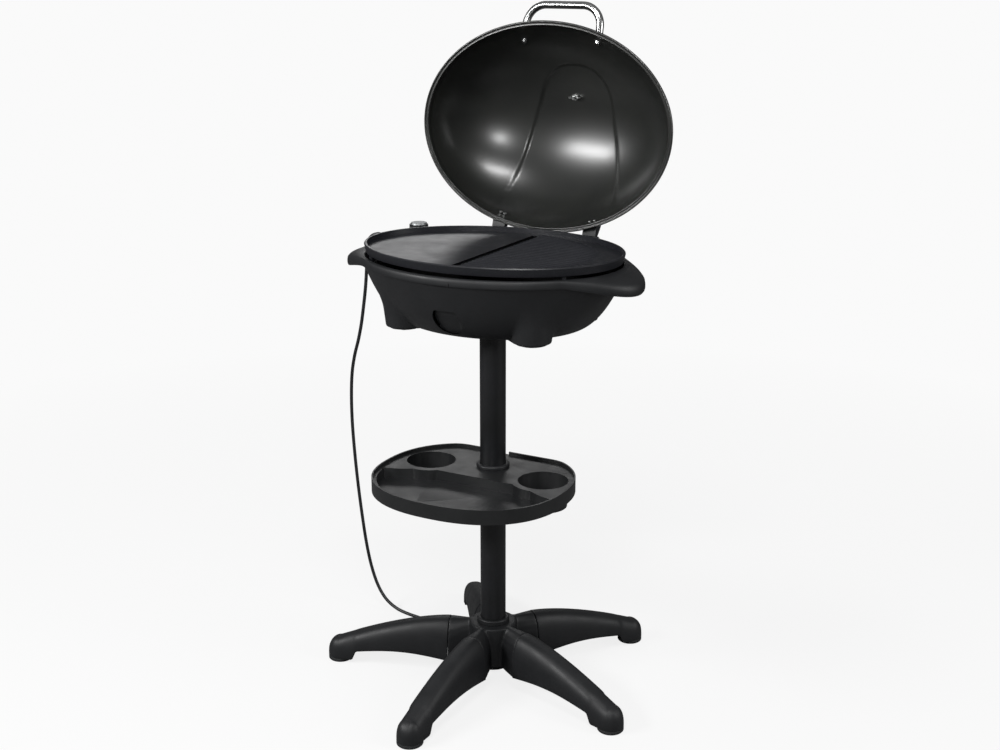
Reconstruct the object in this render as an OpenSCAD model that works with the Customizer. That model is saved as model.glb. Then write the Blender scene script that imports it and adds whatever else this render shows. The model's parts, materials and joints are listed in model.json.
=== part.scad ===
// Electric stand grill: a five-leg base, a pole with a shelf tray, an oval
// grill head with a lift-out plate, and a hinged dome lid standing open.
// All sizes are in millimetres. The origin is on the floor under the pole.

/* [Base] */
// Radius of the circle through the middles of the feet
foot_ring_r = 319; // [280:1:360]
// Radius of a foot pad and of the round end of a leg
foot_r = 25; // [20:1:30]
// Height of a foot pad
foot_h = 8; // [6:1:12]
// Height of the legs where they meet the hub
leg_top = 112; // [100:1:120]
// Height of a leg's underside at the hub
leg_under = 28; // [24:1:34]
// Width of a leg at the hub
leg_w = 64; // [58:1:68]
// Wall of the hollow legs
leg_wall = 4; // [3:0.5:6]
// Radius at which the legs meet the arms of the hub
hub_arm_r = 88; // [80:1:100]
// Radius of the hub's round core
hub_core_r = 36; // [33:1:42]

/* [Pole] */
// Outer diameter of both pole tubes
pole_d = 50; // [44:1:54]
// Wall of the pole tubes
pole_wall = 1.5; // [1:0.1:2.5]
// Height at which the lower tube stands in the hub
pole_foot_z = 26; // [24:1:30]
// Length of the sleeve that joins the two tubes
sleeve_len = 100; // [70:1:120]

/* [Tray] */
// Height of the tray's deck
deck_z = 440; // [400:1:480]
// Half width of the tray
tray_a = 191; // [185:1:215]
// Half depth of the tray's outline before its back is cut straight
tray_b = 172; // [165:1:190]
// Distance of the outline's centre in front of the pole
tray_front = 77; // [70:1:85]
// Distance of the straight back edge behind the pole
tray_back = 72; // [60:1:80]
// Height of the rim above the deck
rim_up = 6; // [4:1:10]
// Full height of the outer wall
tray_wall_h = 28; // [24:1:34]
// Wall of the tray
tray_t = 3; // [2.5:0.5:4]
// Depth of the front well below the deck
well_depth = 20; // [12:1:22]
// Radius of a cup holder at its mouth
cup_r = 48; // [40:1:52]
// Depth of a cup holder
cup_depth = 46; // [40:1:60]
// Distance of each cup holder from the middle
cup_x = 122.5; // [115:0.5:130]
// Distance of the cup holders in front of the pole
cup_front = 27.5; // [20:0.5:35]

/* [Head] */
// Height of the top face of the head's rim
head_z = 852; // [840:1:860]
// Half width of the head at its rim
head_a = 262; // [258:1:266]
// Half depth of the head at its rim
head_b = 204.5; // [202:0.5:206]
// Depth of the bowl below the rim's top face
bowl_h = 124; // [115:1:130]
// Share of the rim's size left at the flat bottom
bowl_floor = 0.6; // [0.55:0.01:0.65]
// Wall of the bowl
bowl_t = 3; // [2.5:0.5:4]
// Height of the band around the rim
band_h = 14; // [12:1:18]
// How far a side handle stands out from the rim
ear_out = 43; // [40:1:55]
// How far a side handle droops
ear_drop = 17; // [12:1:22]
// Radius of the four table feet under the bowl
stub_r = 36; // [32:1:40]
// Distance of the table feet from the middle, sideways
stub_x = 133; // [130:1:142]
// Distance of the table feet from the middle, to front and back
stub_y = 98; // [90:1:106]

/* [Grease drawer] */
// Radius of the round opening whose top is cut flat
drawer_r = 29; // [26:1:30]
// Height of the flat top above the middle of the opening
drawer_flat = 20; // [16:1:21]
// Length of the drawer
drawer_len = 60; // [50:1:80]

/* [Grill plate] */
// Half width of the plate
plate_a = 255.4; // [252:0.2:256]
// Half depth of the plate
plate_b = 191.8; // [189:0.2:192]
// Height of the plate's rim above the head's rim
plate_up = 21; // [18:1:24]
// Height of the plate's rim wall
plate_wall_h = 16; // [14:1:18]
// Width of the plate's rim
plate_rim = 5; // [4:0.5:8]
// Depth of the cooking face below the rim
plate_sink = 10; // [8:1:11]
// Thickness of the cooking floor
plate_t = 5; // [4:0.5:6]
// Distance from one rib to the next
rib_pitch = 12; // [9:0.5:16]
// Height of a rib
rib_h = 4; // [3:0.5:6]
// How far the plate lifts
plate_lift = 40; // [30:1:60]

/* [Heating] */
// Diameter of the heating rod
rod_d = 8; // [6:0.5:9]
// Distance between the rod's two parallel runs
rod_gap = 16; // [14:1:20]
// Radius of the rod's large outer turn
rod_turn = 124; // [110:1:128]

/* [Thermostat] */
// Distance of the thermostat behind the middle
thermo_y = 138; // [134:1:140]
// Distance of the knob to the left of the middle
knob_x = 245; // [242:1:252]
// Radius of the knob
knob_r = 19; // [16:0.5:20]
// Width of the thermostat housing
thermo_w = 44; // [40:1:48]
// Height of the thermostat housing
thermo_h = 20; // [18:1:22]

/* [Lid] */
// Half width of the lid over its rolled rim
lid_a = 268.7; // [266:0.1:272]
// Half depth of the lid over its rolled rim
lid_b = 203; // [201:0.5:204]
// Height of the dome
dome_h = 148; // [130:1:155]
// Thickness of the rolled rim
roll_t = 5; // [4:0.5:6]
// Width of the rolled rim outside the dome
roll_w = 6; // [5:0.5:6.5]
// Wall of the dome
dome_t = 1.5; // [1.2:0.1:3]
// How far the embossed tongue stands up
tongue_h = 3; // [0:0.5:5]
// Angle by which the lid stands open
lid_open = 91.5; // [80:0.5:95]
// Distance of the hinge axis behind the middle
hinge_y = 206; // [205:0.5:209]
// Height of the hinge axis above the head's rim
hinge_up = 10; // [9:0.5:12]
// Distance of each hinge from the middle
hinge_x = 100; // [85:1:110]
// Diameter of a hinge pin
pin_d = 4; // [3:0.5:5]
// Diameter of the handle's tube
grip_d = 15; // [11:1:16]
// Distance between the handle's two feet
grip_span = 160; // [130:1:180]
// Distance from the middle of the lid to the handle's grip
grip_reach = 231; // [226:1:240]

/* [Cord] */
// Diameter of the mains lead
cord_d = 7; // [6:0.5:8]

/* [Hidden] */
$fn = 64;

// Running and seating clearances
fit = 0.05;
seat = 0.2;
eps = 0.01;

leg_count = 5;
leg_turn = 360 / leg_count;
pole_r = pole_d / 2;
pole_top = head_z - bowl_h - 6;
bore_r = pole_r + fit;
tube_in = pole_r - pole_wall;

// Any closed solid skinned over a stack of rings with equal point counts
module skin(rings) {
    n = len(rings[0]);
    m = len(rings);
    side = [for (i = [0:m - 2]) for (j = [0:n - 1])
        let (k = (j + 1) % n)
        each [[i * n + j, (i + 1) * n + j, (i + 1) * n + k],
              [i * n + j, (i + 1) * n + k, i * n + k]]];
    low = [[for (j = [0:n - 1]) j]];
    high = [[for (j = [n - 1:-1:0]) (m - 1) * n + j]];
    polyhedron(points = [for (r = rings) each r],
        faces = concat(low, side, high), convexity = 12);
}

function oval(a, b, n = 90) =
    [for (i = [0:n - 1]) [a * cos(360 * i / n), b * sin(360 * i / n)]];
function oval_ring(a, b, z, n) = [for (p = oval(a, b, n)) [p.x, p.y, z]];
function power(c, e) = sign(c) * pow(abs(c), 2 / e);

// Legs: an arch section that falls and narrows towards the foot
leg_fall = leg_top - 49;
arch_n = 12;
arch_e = 2.7;
function along(r) = max(r - hub_arm_r, 0) / (foot_ring_r - hub_arm_r);
function leg_roof(r) = leg_top - leg_fall * pow(along(min(r, foot_ring_r)), 1.5);
function leg_half(r) =
    let (t = along(min(r, foot_ring_r))) leg_w / 2 * (1 - t) + foot_r * t;
function ease(t) = (1 - cos(180 * min(max(t, 0), 1))) / 2;
leg_heel_r = foot_ring_r - foot_r - 3;
leg_bend_r = leg_heel_r - 12;
leg_bow = 9;
function leg_belly(r) =
    let (t = min(max((r - hub_arm_r) / (leg_bend_r - hub_arm_r), 0), 1))
    leg_under + leg_bow * sin(180 * t)
        - (leg_under - foot_h) * ease((r - leg_bend_r) / (leg_heel_r - leg_bend_r));
function tip_share(r) = sqrt(max(1 - pow(max(r - foot_ring_r, 0) / foot_r, 2), 0.004));
function arch(r, inset) =
    let (q = tip_share(r),
         half = (leg_half(r) - inset) * q,
         floor_z = leg_belly(r) - (inset > 0 ? 3 : 0),
         rise = (leg_roof(r) - inset - floor_z) * pow(q, 0.7))
    [for (k = [0:arch_n]) let (s = 180 * k / arch_n)
        [r, half * power(cos(s), arch_e), floor_z + rise * power(sin(s), arch_e)]];
tip_steps = [for (s = [0, 28, 50, 70, 90]) foot_ring_r + foot_r * sin(s) * 0.998];
leg_steps = concat([for (i = [0:7]) hub_arm_r + (leg_bend_r - hub_arm_r) * i / 7],
    [leg_bend_r + 6, leg_heel_r], tip_steps);
hollow_steps = [for (i = [0:6]) hub_arm_r + 6 + (leg_heel_r - 4 - hub_arm_r - 6) * i / 6];
tenon_w = 24;
tenon_low = 46;
tenon_high = 88;
tenon_in = hub_core_r + 8;

module leg_place(i) {
    rotate([0, 0, -90 + leg_turn * (i - 1)]) children();
}

module leg(i) {
    color("#1c1d1f") leg_place(i) {
        difference() {
            skin([for (r = leg_steps) arch(r, 0)]);
            skin([for (r = hollow_steps) arch(r, leg_wall)]);
            translate([foot_ring_r, 0, foot_h - 1])
                cylinder(r = foot_stem_r + fit, h = foot_stem_h + 1 + fit);
        }
        difference() {
            translate([tenon_in + seat, -tenon_w / 2 + seat, tenon_low + seat])
                cube([hub_arm_r + 7 - tenon_in, tenon_w - 2 * seat,
                    tenon_high - tenon_low - 2 * seat]);
            leg_screw_bore();
        }
    }
}

screw_at = (hub_core_r + hub_arm_r) / 2 + 4;
module leg_screw_bore() {
    translate([screw_at, 0, 0]) cylinder(r = 2.2, h = tenon_low + 16);
}

foot_stem_r = 6;
foot_stem_h = 14;
module foot(i) {
    color("#17181a") leg_place(i) translate([foot_ring_r, 0, 0]) {
        rotate_extrude() polygon([[0, 0], [foot_r - 2, 0], [foot_r, 2], [foot_r, foot_h - 2],
            [foot_r - 1, foot_h], [foot_stem_r, foot_h], [foot_stem_r, foot_h + foot_stem_h - 1],
            [foot_stem_r - 1, foot_h + foot_stem_h], [0, foot_h + foot_stem_h]]);
    }
}

hub_cap_r = hub_core_r + 11;
hub_waist = 0.58;
function hub_point(r, a) = [r * cos(a), r * sin(a)];
// A level outline of the hub: the arms at one height and the round middle between them.
// With a radius given, the same points stand on a circle inside the bore.
function hub_ring(half, z, r = 0) =
    let (open_a = asin(half * hub_waist / hub_cap_r),
         root = hub_cap_r,
         tip = norm([hub_arm_r, half]),
         tip_a = atan2(half, hub_arm_r))
    [for (i = [0:leg_count - 1]) let (m = -90 + leg_turn * i)
        each [for (p = concat([[tip, -tip_a], [tip, tip_a]],
            [for (k = [0:4]) [root, open_a + (leg_turn - 2 * open_a) * k / 4]]))
            let (q = hub_point(r > 0 ? r : p.x, m + p.y)) [q.x, q.y, z]]];
hub_middle = tube_in - 8;
hub_levels = [for (k = [0:arch_n / 2 - 1]) arch(hub_arm_r, 0)[k]];
module hub() {
    color("#1c1d1f") difference() {
        union() {
            translate([0, 0, 18]) cylinder(r = hub_core_r, h = leg_under - 17);
            skin(concat([hub_ring(leg_w / 2, leg_under, hub_middle)],
                [for (p = hub_levels) hub_ring(p.y, p.z)],
                [hub_ring(leg_w / 10, leg_top + 0.5),
                 hub_ring(leg_w / 10, leg_top + 0.5, hub_middle)]));
        }
        translate([0, 0, pole_foot_z]) cylinder(r = bore_r, h = leg_top);
        translate([0, 0, -eps]) cylinder(r = tube_in - 3, h = leg_top);
        for (i = [1:leg_count]) leg_place(i) {
            translate([tenon_in, -tenon_w / 2, tenon_low])
                cube([hub_arm_r + 1 - tenon_in, tenon_w, tenon_high - tenon_low]);
            leg_screw_bore();
        }
    }
}

module leg_screws() {
    color("#8a8c8e") for (i = [1:leg_count]) leg_place(i) translate([screw_at, 0, 0]) {
        translate([0, 0, leg_under - 3]) cylinder(r = 4.5, h = 3);
        translate([0, 0, leg_under - eps]) cylinder(r = 2.1, h = tenon_low + 14 - leg_under);
    }
}

collar_r = 32;
module hub_collar() {
    color("#141516") ring_collar(leg_top + 0.5, 10);
}
module tray_collar() {
    color("#141516") ring_collar(deck_z + tray_seat_h, 7);
}
module ring_collar(z, h) {
    translate([0, 0, z]) rotate_extrude() polygon([[pole_r + fit, 0], [collar_r, 0],
        [collar_r, h - 2], [collar_r - 2, h], [pole_r + fit, h]]);
}

module tube(z0, z1) {
    translate([0, 0, z0]) difference() {
        cylinder(r = pole_r, h = z1 - z0);
        translate([0, 0, -1]) cylinder(r = tube_in, h = z1 - z0 + 2);
    }
}
tray_low = deck_z + rim_up - tray_wall_h;
tray_seat_h = 0.5;
module lower_tube() { color("#141517") tube(pole_foot_z, tray_low); }
module upper_tube() { color("#141517") tube(deck_z + tray_seat_h, pole_top); }

module tube_sleeve() {
    color("#4a4c4e") translate([0, 0, (tray_low + deck_z - sleeve_len) / 2]) difference() {
        cylinder(r = tube_in - fit, h = sleeve_len);
        translate([0, 0, -1]) cylinder(r = tube_in - 2.5, h = sleeve_len + 2);
    }
}

// Tray outline: a rounded oval whose back is drawn to a straight edge
tray_e = 2.3;
tray_n = 120;
function soft_min(v, top, k) =
    let (h = min(max(0.5 + 0.5 * (top - v) / k, 0), 1)) v * h + top * (1 - h) - k * h * (1 - h);
function tray_line(inset) =
    [for (i = [0:tray_n - 1]) let (s = 360 * i / tray_n,
        x = (tray_a - inset) * power(cos(s), tray_e),
        y = -tray_front + (tray_b - inset) * power(sin(s), tray_e))
        [x, soft_min(y, tray_back - inset, 9)]];

cup_wall_r = cup_r + 13;
well_back = -tray_front + 4;
well_inset = 9;
module well_shape(grow) {
    difference() {
        intersection() {
            polygon(tray_line(well_inset - grow));
            translate([-tray_a, -2 * tray_b - tray_front])
                square([2 * tray_a, 2 * tray_b + tray_front + well_back + grow]);
        }
        for (s = [-1, 1]) {
            translate([s * cup_x, -cup_front]) circle(r = cup_wall_r - grow);
            polygon([[s * cup_x, -cup_front],
                [s * (cup_x + 4), -cup_front - cup_wall_r + grow],
                [s * (cup_x + 28), -cup_front - cup_wall_r - 13 + grow],
                [s * tray_a, -cup_front - cup_wall_r - 24 + grow],
                [s * (tray_a + 9), -cup_front]]);
        }
    }
}

slot_len = 118;
slot_w = 30;
slot_at = [-4, -tray_front - tray_b + 36];
module slot_shape(grow) {
    for (s = [-1, 1]) translate([s * (slot_len - slot_w) / 2, 0]) circle(r = slot_w / 2 + grow);
    square([slot_len - slot_w, slot_w + 2 * grow], center = true);
}

cup_low_r = cup_r - 5;
cup_z = deck_z - cup_depth;
module cup_solid(grow, lift) {
    translate([0, 0, cup_z + lift])
        cylinder(r1 = cup_low_r + grow, r2 = cup_r + grow, h = cup_depth - lift + eps);
}

module tray() {
    well_z = deck_z - well_depth;
    notch_w = 24;
    color("#202122") difference() {
        union() {
            difference() {
                translate([0, 0, tray_low])
                    linear_extrude(tray_wall_h) polygon(tray_line(0));
                translate([0, 0, tray_low - 1]) linear_extrude(tray_wall_h - rim_up - tray_t + 1)
                    polygon(tray_line(tray_t));
                translate([0, 0, deck_z]) linear_extrude(rim_up + 1) polygon(tray_line(tray_t));
            }
            translate([0, 0, well_z - tray_t]) linear_extrude(well_depth) well_shape(tray_t);
            for (s = [-1, 1]) translate([s * cup_x, -cup_front, 0]) cup_solid(tray_t, -tray_t);
            translate([slot_at.x, slot_at.y, well_z - tray_t]) linear_extrude(tray_t + 3)
                slot_shape(6);
            translate([0, 0, tray_low]) cylinder(r = pole_r + 6, h = deck_z + tray_seat_h - tray_low);
        }
        translate([0, 0, well_z]) linear_extrude(well_depth + 1) difference() {
            well_shape(0);
            translate(slot_at) slot_shape(6);
        }
        translate([slot_at.x, slot_at.y, well_z + 3]) linear_extrude(well_depth)
            slot_shape(6.1);
        translate([slot_at.x, slot_at.y, tray_low - 1]) linear_extrude(tray_wall_h) slot_shape(0);
        for (s = [-1, 1]) translate([s * cup_x, -cup_front, 0]) {
            cup_solid(0, 0);
            translate([0, 0, deck_z]) cylinder(r = cup_r, h = rim_up + 1);
        }
        translate([-notch_w - 2, tray_back - 9, deck_z]) cube([notch_w, 12, rim_up + 1]);
        translate([0, 0, tray_low - 1]) cylinder(r = tube_in, h = tray_wall_h);
    }
}

// Head: a moulded bowl whose outline swells from a flat floor to the rim
bowl_low = head_z - bowl_h;
bowl_e = 0.46;
bowl_n = 72;
function bowl_share(z) =
    bowl_floor + (1 - bowl_floor) * pow(max(z - bowl_low, 0) / bowl_h, bowl_e);
band_low = head_z - band_h;
ear_mid = -6;
ear_arc = 40;
// 1 in the middle of a side handle, 0 outside it
function ear(s) =
    let (right = abs(s < 180 ? s - ear_mid : s - 360 - ear_mid),
         left = abs(s - 180 + ear_mid),
         d = min(right, left) / ear_arc)
    d < 1 ? pow(cos(90 * d), 1.5) : 0;
// A ring of the bowl: size share, height, outward step and the handles' reach and droop
function bowl_ring(share, z, step, reach, droop) =
    [for (i = [0:bowl_n - 1]) let (s = 360 * i / bowl_n, w = ear(s))
        [(head_a * share + step + ear_out * reach * w) * cos(s),
         (head_b * share + step + ear_out * reach * w * 0.25) * sin(s),
         z - ear_drop * droop * w]];
wall_z = [for (k = [0, 0.3, 0.5, 0.68, 0.82, 0.92]) bowl_low + (band_low - bowl_low) * pow(k, 2.2)];
bowl_outer = [for (z = wall_z) bowl_ring(bowl_share(z), z, 0, 0, 0)];
bowl_band = [
    bowl_ring(bowl_share(band_low), band_low - 1, 0, 0, 0.4),
    bowl_ring(bowl_share(band_low), band_low - 1, 2, 0.55, 0.9),
    bowl_ring(1, band_low, 0, 0.94, 1.25),
    bowl_ring(1, band_low + 4, 0.5, 1, 1.15),
    bowl_ring(1, head_z - 3, 0, 0.98, 0.9),
    bowl_ring(1, head_z, -3, 0.8, 0.6),
    bowl_ring(1, head_z, -7, 0.3, 0.12),
    bowl_ring(1, head_z, -9, 0, 0)];
thermo_top = head_z - 0.5;
thermo_low = thermo_top - thermo_h;
notch_y = thermo_w / 2 + 1;
ledge_z = head_z - 18;
ledge_angles = [35, 145, 215, 325];
drawer_z = bowl_low + drawer_r + 9;
drawer_front = -head_b * bowl_share(drawer_z - drawer_r) + 3;
pocket_t = 2;
pocket_back = drawer_front + 5 + drawer_len + 2;

module drawer_shape(r, flat) {
    intersection() {
        circle(r = r);
        translate([-r, -r]) square([2 * r, r + flat]);
    }
}
// Lays a shape drawn in X and Z along Y, from y0 to y1
module run_y(y0, y1, z) {
    translate([0, y1, z]) rotate([90, 0, 0]) linear_extrude(y1 - y0) children();
}

stub_low = bowl_low - 4;
stub_round = 8;
module stub(grow, low) {
    rotate_extrude() union() {
        translate([stub_r - grow - stub_round, low + stub_round]) circle(r = stub_round);
        translate([0, low]) square([stub_r - grow - stub_round, 30]);
        translate([0, low + stub_round]) square([stub_r - grow, bowl_h * 0.62]);
    }
}
module stubs(grow, low) {
    for (x = [-stub_x, stub_x]) for (y = [-stub_y, stub_y]) translate([x, y, 0]) stub(grow, low);
}
socket_r = 60;
socket_screw_r = socket_r - 12;
module socket_holes(r, z, h) {
    for (k = [45:90:315]) rotate([0, 0, k]) translate([socket_screw_r, 0, z])
        cylinder(r = r, h = h);
}

module bowl() {
    color("#242527") difference() {
        union() {
            difference() {
                union() {
                    skin(concat(bowl_outer, bowl_band));
                    stubs(0, stub_low);
                }
                difference() {
                    union() {
                        skin(bowl_cavity());
                        stubs(bowl_t, stub_low + bowl_t);
                    }
                    run_y(-head_b, pocket_back, drawer_z)
                        drawer_shape(drawer_r + pocket_t, drawer_flat + pocket_t);
                }
            }
            for (k = ledge_angles) ledge(k);
            for (k = [45:90:315]) rotate([0, 0, k])
                translate([socket_screw_r, 0, bowl_low]) cylinder(r = 6, h = 14);
        }
        socket_holes(2.2, bowl_low - 1, 13);
        translate([-head_a, thermo_y - notch_y, thermo_low - 2])
            cube([head_a - 145, 2 * notch_y, thermo_h + 4]);
        run_y(-head_b, pocket_back + 1, drawer_z) drawer_shape(drawer_r, drawer_flat);
    }
}
// The hollow of the bowl, open at the rim
function bowl_cavity() = concat(
    [for (i = [0:len(wall_z) - 1])
        bowl_ring(bowl_share(wall_z[i]), wall_z[i] + (i == 0 ? bowl_t : 0),
            -bowl_t - (i == 0 ? 3 : 0), 0, 0)],
    [bowl_ring(1, band_low + 2, -9, 0, 0), bowl_ring(1, head_z + 1, -9, 0, 0)]);
module ledge(k) {
    wide = 16;
    a = head_a * bowl_share(ledge_z) - bowl_t / 2;
    b = head_b * bowl_share(ledge_z) - bowl_t / 2;
    intersection() {
        translate([0, 0, ledge_z - 6]) linear_extrude(6) difference() {
            polygon(oval(a, b));
            polygon(oval(a - 14, b - 14));
        }
        rotate([0, 0, atan2(b * sin(k), a * cos(k))]) translate([0, -wide / 2, ledge_z - 20])
            cube([head_a, wide, 40]);
    }
}

socket_h = 28;
module pole_socket() {
    color("#191a1c") difference() {
        union() {
            translate([0, 0, bowl_low - 5]) cylinder(r = socket_r, h = 5);
            translate([0, 0, bowl_low - socket_h]) cylinder(r = pole_r + 5, h = socket_h - 1);
        }
        translate([0, 0, pole_top - socket_h]) cylinder(r = bore_r, h = socket_h);
        translate([0, 0, bowl_low - socket_h]) cylinder(r = tube_in - 3, h = socket_h + 1);
        socket_holes(2.6, bowl_low - 6, 8);
    }
}
module socket_screws() {
    color("#8a8c8e") {
        socket_holes(5, bowl_low - 8, 3);
        socket_holes(2.1, bowl_low - 5 - eps, 14);
    }
}

drawer_gap = 0.6;
module grease_drawer() {
    inner = drawer_r - drawer_gap;
    back = drawer_front + 5 + drawer_len;
    color("#1a1b1c") difference() {
        intersection() {
            run_y(-head_b, back, drawer_z) drawer_shape(inner, drawer_flat - drawer_gap);
            skin([for (z = wall_z) bowl_ring(bowl_share(z), z, -4, 0, 0)]);
        }
        run_y(drawer_front + 8, back - 2.5, drawer_z) {
            drawer_shape(inner - 2.5, drawer_flat - 8);
            translate([-inner + 6, 0]) square([2 * inner - 12, drawer_r]);
        }
    }
}

// Reflector: a sheet pan hung by its lip on the ledges of the bowl
pan_t = 1.2;
pan_n = 64;
pan_lip_a = head_a * bowl_share(ledge_z) - bowl_t - 2;
pan_lip_b = head_b * bowl_share(ledge_z) - bowl_t - 2;
pan_depth = 26;
module reflector() {
    z0 = ledge_z - pan_depth;
    color("#a9abad") difference() {
        skin([oval_ring(pan_lip_a - 46, pan_lip_b - 46, z0, pan_n),
              oval_ring(pan_lip_a - 18, pan_lip_b - 18, ledge_z, pan_n),
              oval_ring(pan_lip_a, pan_lip_b, ledge_z, pan_n),
              oval_ring(pan_lip_a, pan_lip_b, ledge_z + pan_t, pan_n)]);
        skin([oval_ring(pan_lip_a - 47, pan_lip_b - 47, z0 + pan_t, pan_n),
              oval_ring(pan_lip_a - 19, pan_lip_b - 19, ledge_z + pan_t + eps, pan_n),
              oval_ring(pan_lip_a - 19, pan_lip_b - 19, ledge_z + 5, pan_n)]);
        translate([groove_x, drain_y, z0 - 1]) cylinder(r = 12, h = 4);
        translate([-head_a, thermo_y - notch_y, thermo_low - 3])
            cube([head_a - 145, 2 * notch_y, thermo_h + 4]);
    }
}

plate_top = head_z + plate_up;
cook_z = plate_top - plate_sink;
plate_under = cook_z - plate_t;
groove_x = 10;
drain_y = drawer_front + drawer_len / 2;
plate_post_r = 5;
draft = 3;
module grill_plate() {
    rib_a = plate_a - plate_rim - 24;
    rib_b = plate_b - plate_rim - 10;
    ribs = floor((rib_b - 8) / rib_pitch);
    color("#1b1c1f") difference() {
        union() {
            difference() {
                hull_free_rim();
                translate([0, 0, cook_z]) linear_extrude(plate_sink + 1)
                    polygon(oval(plate_a - plate_rim, plate_b - plate_rim));
                translate([0, 0, plate_under - 20]) linear_extrude(20)
                    polygon(oval(plate_a - 6, plate_b - 6));
            }
            intersection() {
                for (i = [-ribs:ribs]) translate([groove_x + 6, i * rib_pitch, cook_z])
                    rotate([90, 0, 90]) linear_extrude(plate_a) polygon([[-3.2, -1],
                        [3.2, -1], [2, rib_h - 0.8], [1.2, rib_h], [-1.2, rib_h],
                        [-2, rib_h - 0.8]]);
                translate([0, 0, cook_z - 1]) linear_extrude(rib_h + 2) polygon(oval(rib_a, rib_b));
            }
            translate([groove_x, drain_y, plate_under - 4]) cylinder(r = 7, h = 5);
            for (k = ledge_angles)
                translate([(pan_lip_a - 8) * cos(k), (pan_lip_b - 8) * sin(k), ledge_z + pan_t])
                    cylinder(r = plate_post_r, h = plate_under - ledge_z - pan_t + 1);
        }
        translate([groove_x - 3, -plate_b + 24, cook_z - 2.5]) cube([6, 2 * plate_b - 48, 9]);
        translate([groove_x, drain_y, plate_under - 5]) cylinder(r = 4, h = 20);
    }
}
module hull_free_rim() {
    skin([oval_ring(plate_a - draft, plate_b - draft, plate_top - plate_wall_h, 90),
          oval_ring(plate_a, plate_b, plate_top - 2, 90),
          oval_ring(plate_a - 1.5, plate_b - 1.5, plate_top, 90)]);
}

rod_r = rod_d / 2;
rod_z = plate_under - rod_r - 1;
rod_end_x = -122;
rod_mid_x = 95;
rod_back_y = thermo_y + rod_gap / 2;
rod_mid_y = rod_back_y - rod_turn;
module rod_run(x0, x1, y) {
    translate([x0, y, rod_z]) rotate([0, 90, 0]) cylinder(r = rod_r, h = x1 - x0);
}
module rod_bend(x, y, r, a) {
    translate([x, y, rod_z]) rotate([0, 0, a]) rotate_extrude(angle = 180)
        translate([r, 0]) circle(r = rod_r);
}
module heating_rod() {
    inner = rod_turn - rod_gap;
    low = rod_mid_y - rod_turn;
    color("#5b5d60") {
        rod_run(rod_end_x, rod_mid_x, rod_back_y);
        rod_run(rod_end_x, rod_mid_x, rod_back_y - rod_gap);
        rod_bend(rod_mid_x, rod_mid_y, rod_turn, -90);
        rod_bend(rod_mid_x, rod_mid_y, inner, -90);
        rod_run(-rod_mid_x, rod_mid_x, low);
        rod_run(-rod_mid_x, rod_mid_x, low + rod_gap);
        rod_bend(-rod_mid_x, low + rod_gap / 2, rod_gap / 2, 90);
    }
}
module rod_clips() {
    low = rod_mid_y - rod_turn;
    color("#9a9c9e") for (x = [-70, 70]) for (y = [thermo_y, low + rod_gap / 2])
        translate([x, y, 0]) {
            translate([-5, -rod_gap / 2 - rod_r, rod_z - rod_r - 1.5])
                cube([10, rod_gap + 2 * rod_r, 1.5]);
            translate([0, 0, rod_z - rod_r - 0.5]) cylinder(r = 2, h = plate_under - rod_z + rod_r + 0.5);
            translate([0, 0, rod_z - rod_r - 3.5]) cylinder(r = 4, h = 2.5);
        }
}

pin_z = thermo_top - 7.5;
pin_r = 2.5;
box_x0 = rod_end_x - 14;
box_x1 = rod_end_x + 14;
module terminal_box() {
    color("#77797b") difference() {
        translate([box_x0, thermo_y - 15, thermo_low + 9])
            cube([box_x1 - box_x0, 30, plate_under - thermo_low - 9]);
        for (s = [-1, 1]) translate([box_x0 - 1, thermo_y + s * 8, pin_z]) rotate([0, 90, 0])
            cylinder(r = pin_r + fit, h = 16);
        for (s = [-1, 1]) translate([rod_end_x, thermo_y + s * rod_gap / 2, rod_z])
            rotate([0, 90, 0]) cylinder(r = rod_r + fit, h = 30);
    }
}
module thermostat_pins() {
    color("#c9b26a") for (s = [-1, 1]) translate([case_x1 - 12, thermo_y + s * 8, pin_z])
        rotate([0, 90, 0]) cylinder(r = pin_r, h = box_x0 + 12 - case_x1 + 12);
}

case_x0 = -knob_x - 50;
case_x1 = -knob_x + 60;
knob_low = head_z + 6;
knob_high = plate_top - 3;
boss_r = 17;
module thermostat_case() {
    half = thermo_w / 2;
    color("#1b1c1e") difference() {
        union() {
            hull() {
                for (y = [-half + 8, half - 8]) translate([case_x0 + 8, thermo_y + y, thermo_low])
                    cylinder(r = 8, h = thermo_h - 2, $fn = 32);
                for (y = [-half + 4, half - 4]) translate([case_x1 - 4, thermo_y + y, thermo_low])
                    cylinder(r = 4, h = thermo_h, $fn = 32);
                for (y = [-half + 10, half - 10]) translate([case_x0 + 10, thermo_y + y, thermo_low])
                    cylinder(r = 8, h = thermo_h, $fn = 32);
            }
            translate([-knob_x, thermo_y, thermo_top - 1]) cylinder(r = boss_r, h = knob_low - thermo_top);
        }
        translate([-knob_x, thermo_y, thermo_top - 10]) cylinder(r = 4 + fit, h = 40);
        for (s = [-1, 1]) translate([case_x1 - 12, thermo_y + s * 8, pin_z]) rotate([0, 90, 0])
            cylinder(r = pin_r + fit, h = 40);
        translate([case_x0 + guard_root + fit, thermo_y, exit_z]) rotate([0, -90, 0])
            cylinder(r = guard_root_r + fit, h = 20);
    }
}
module knob() {
    grips = 18;
    color("#161719") translate([-knob_x, thermo_y, 0]) {
        difference() {
            translate([0, 0, knob_low]) cylinder(r = knob_r, h = knob_high - knob_low);
            for (i = [0:grips - 1]) rotate([0, 0, 360 * i / grips])
                translate([knob_r + 1.1, 0, knob_low + 3]) cylinder(r = 2, h = knob_high);
        }
        translate([0, 0, thermo_top - 9]) cylinder(r = 4, h = knob_low - thermo_top + 10);
    }
}
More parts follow.
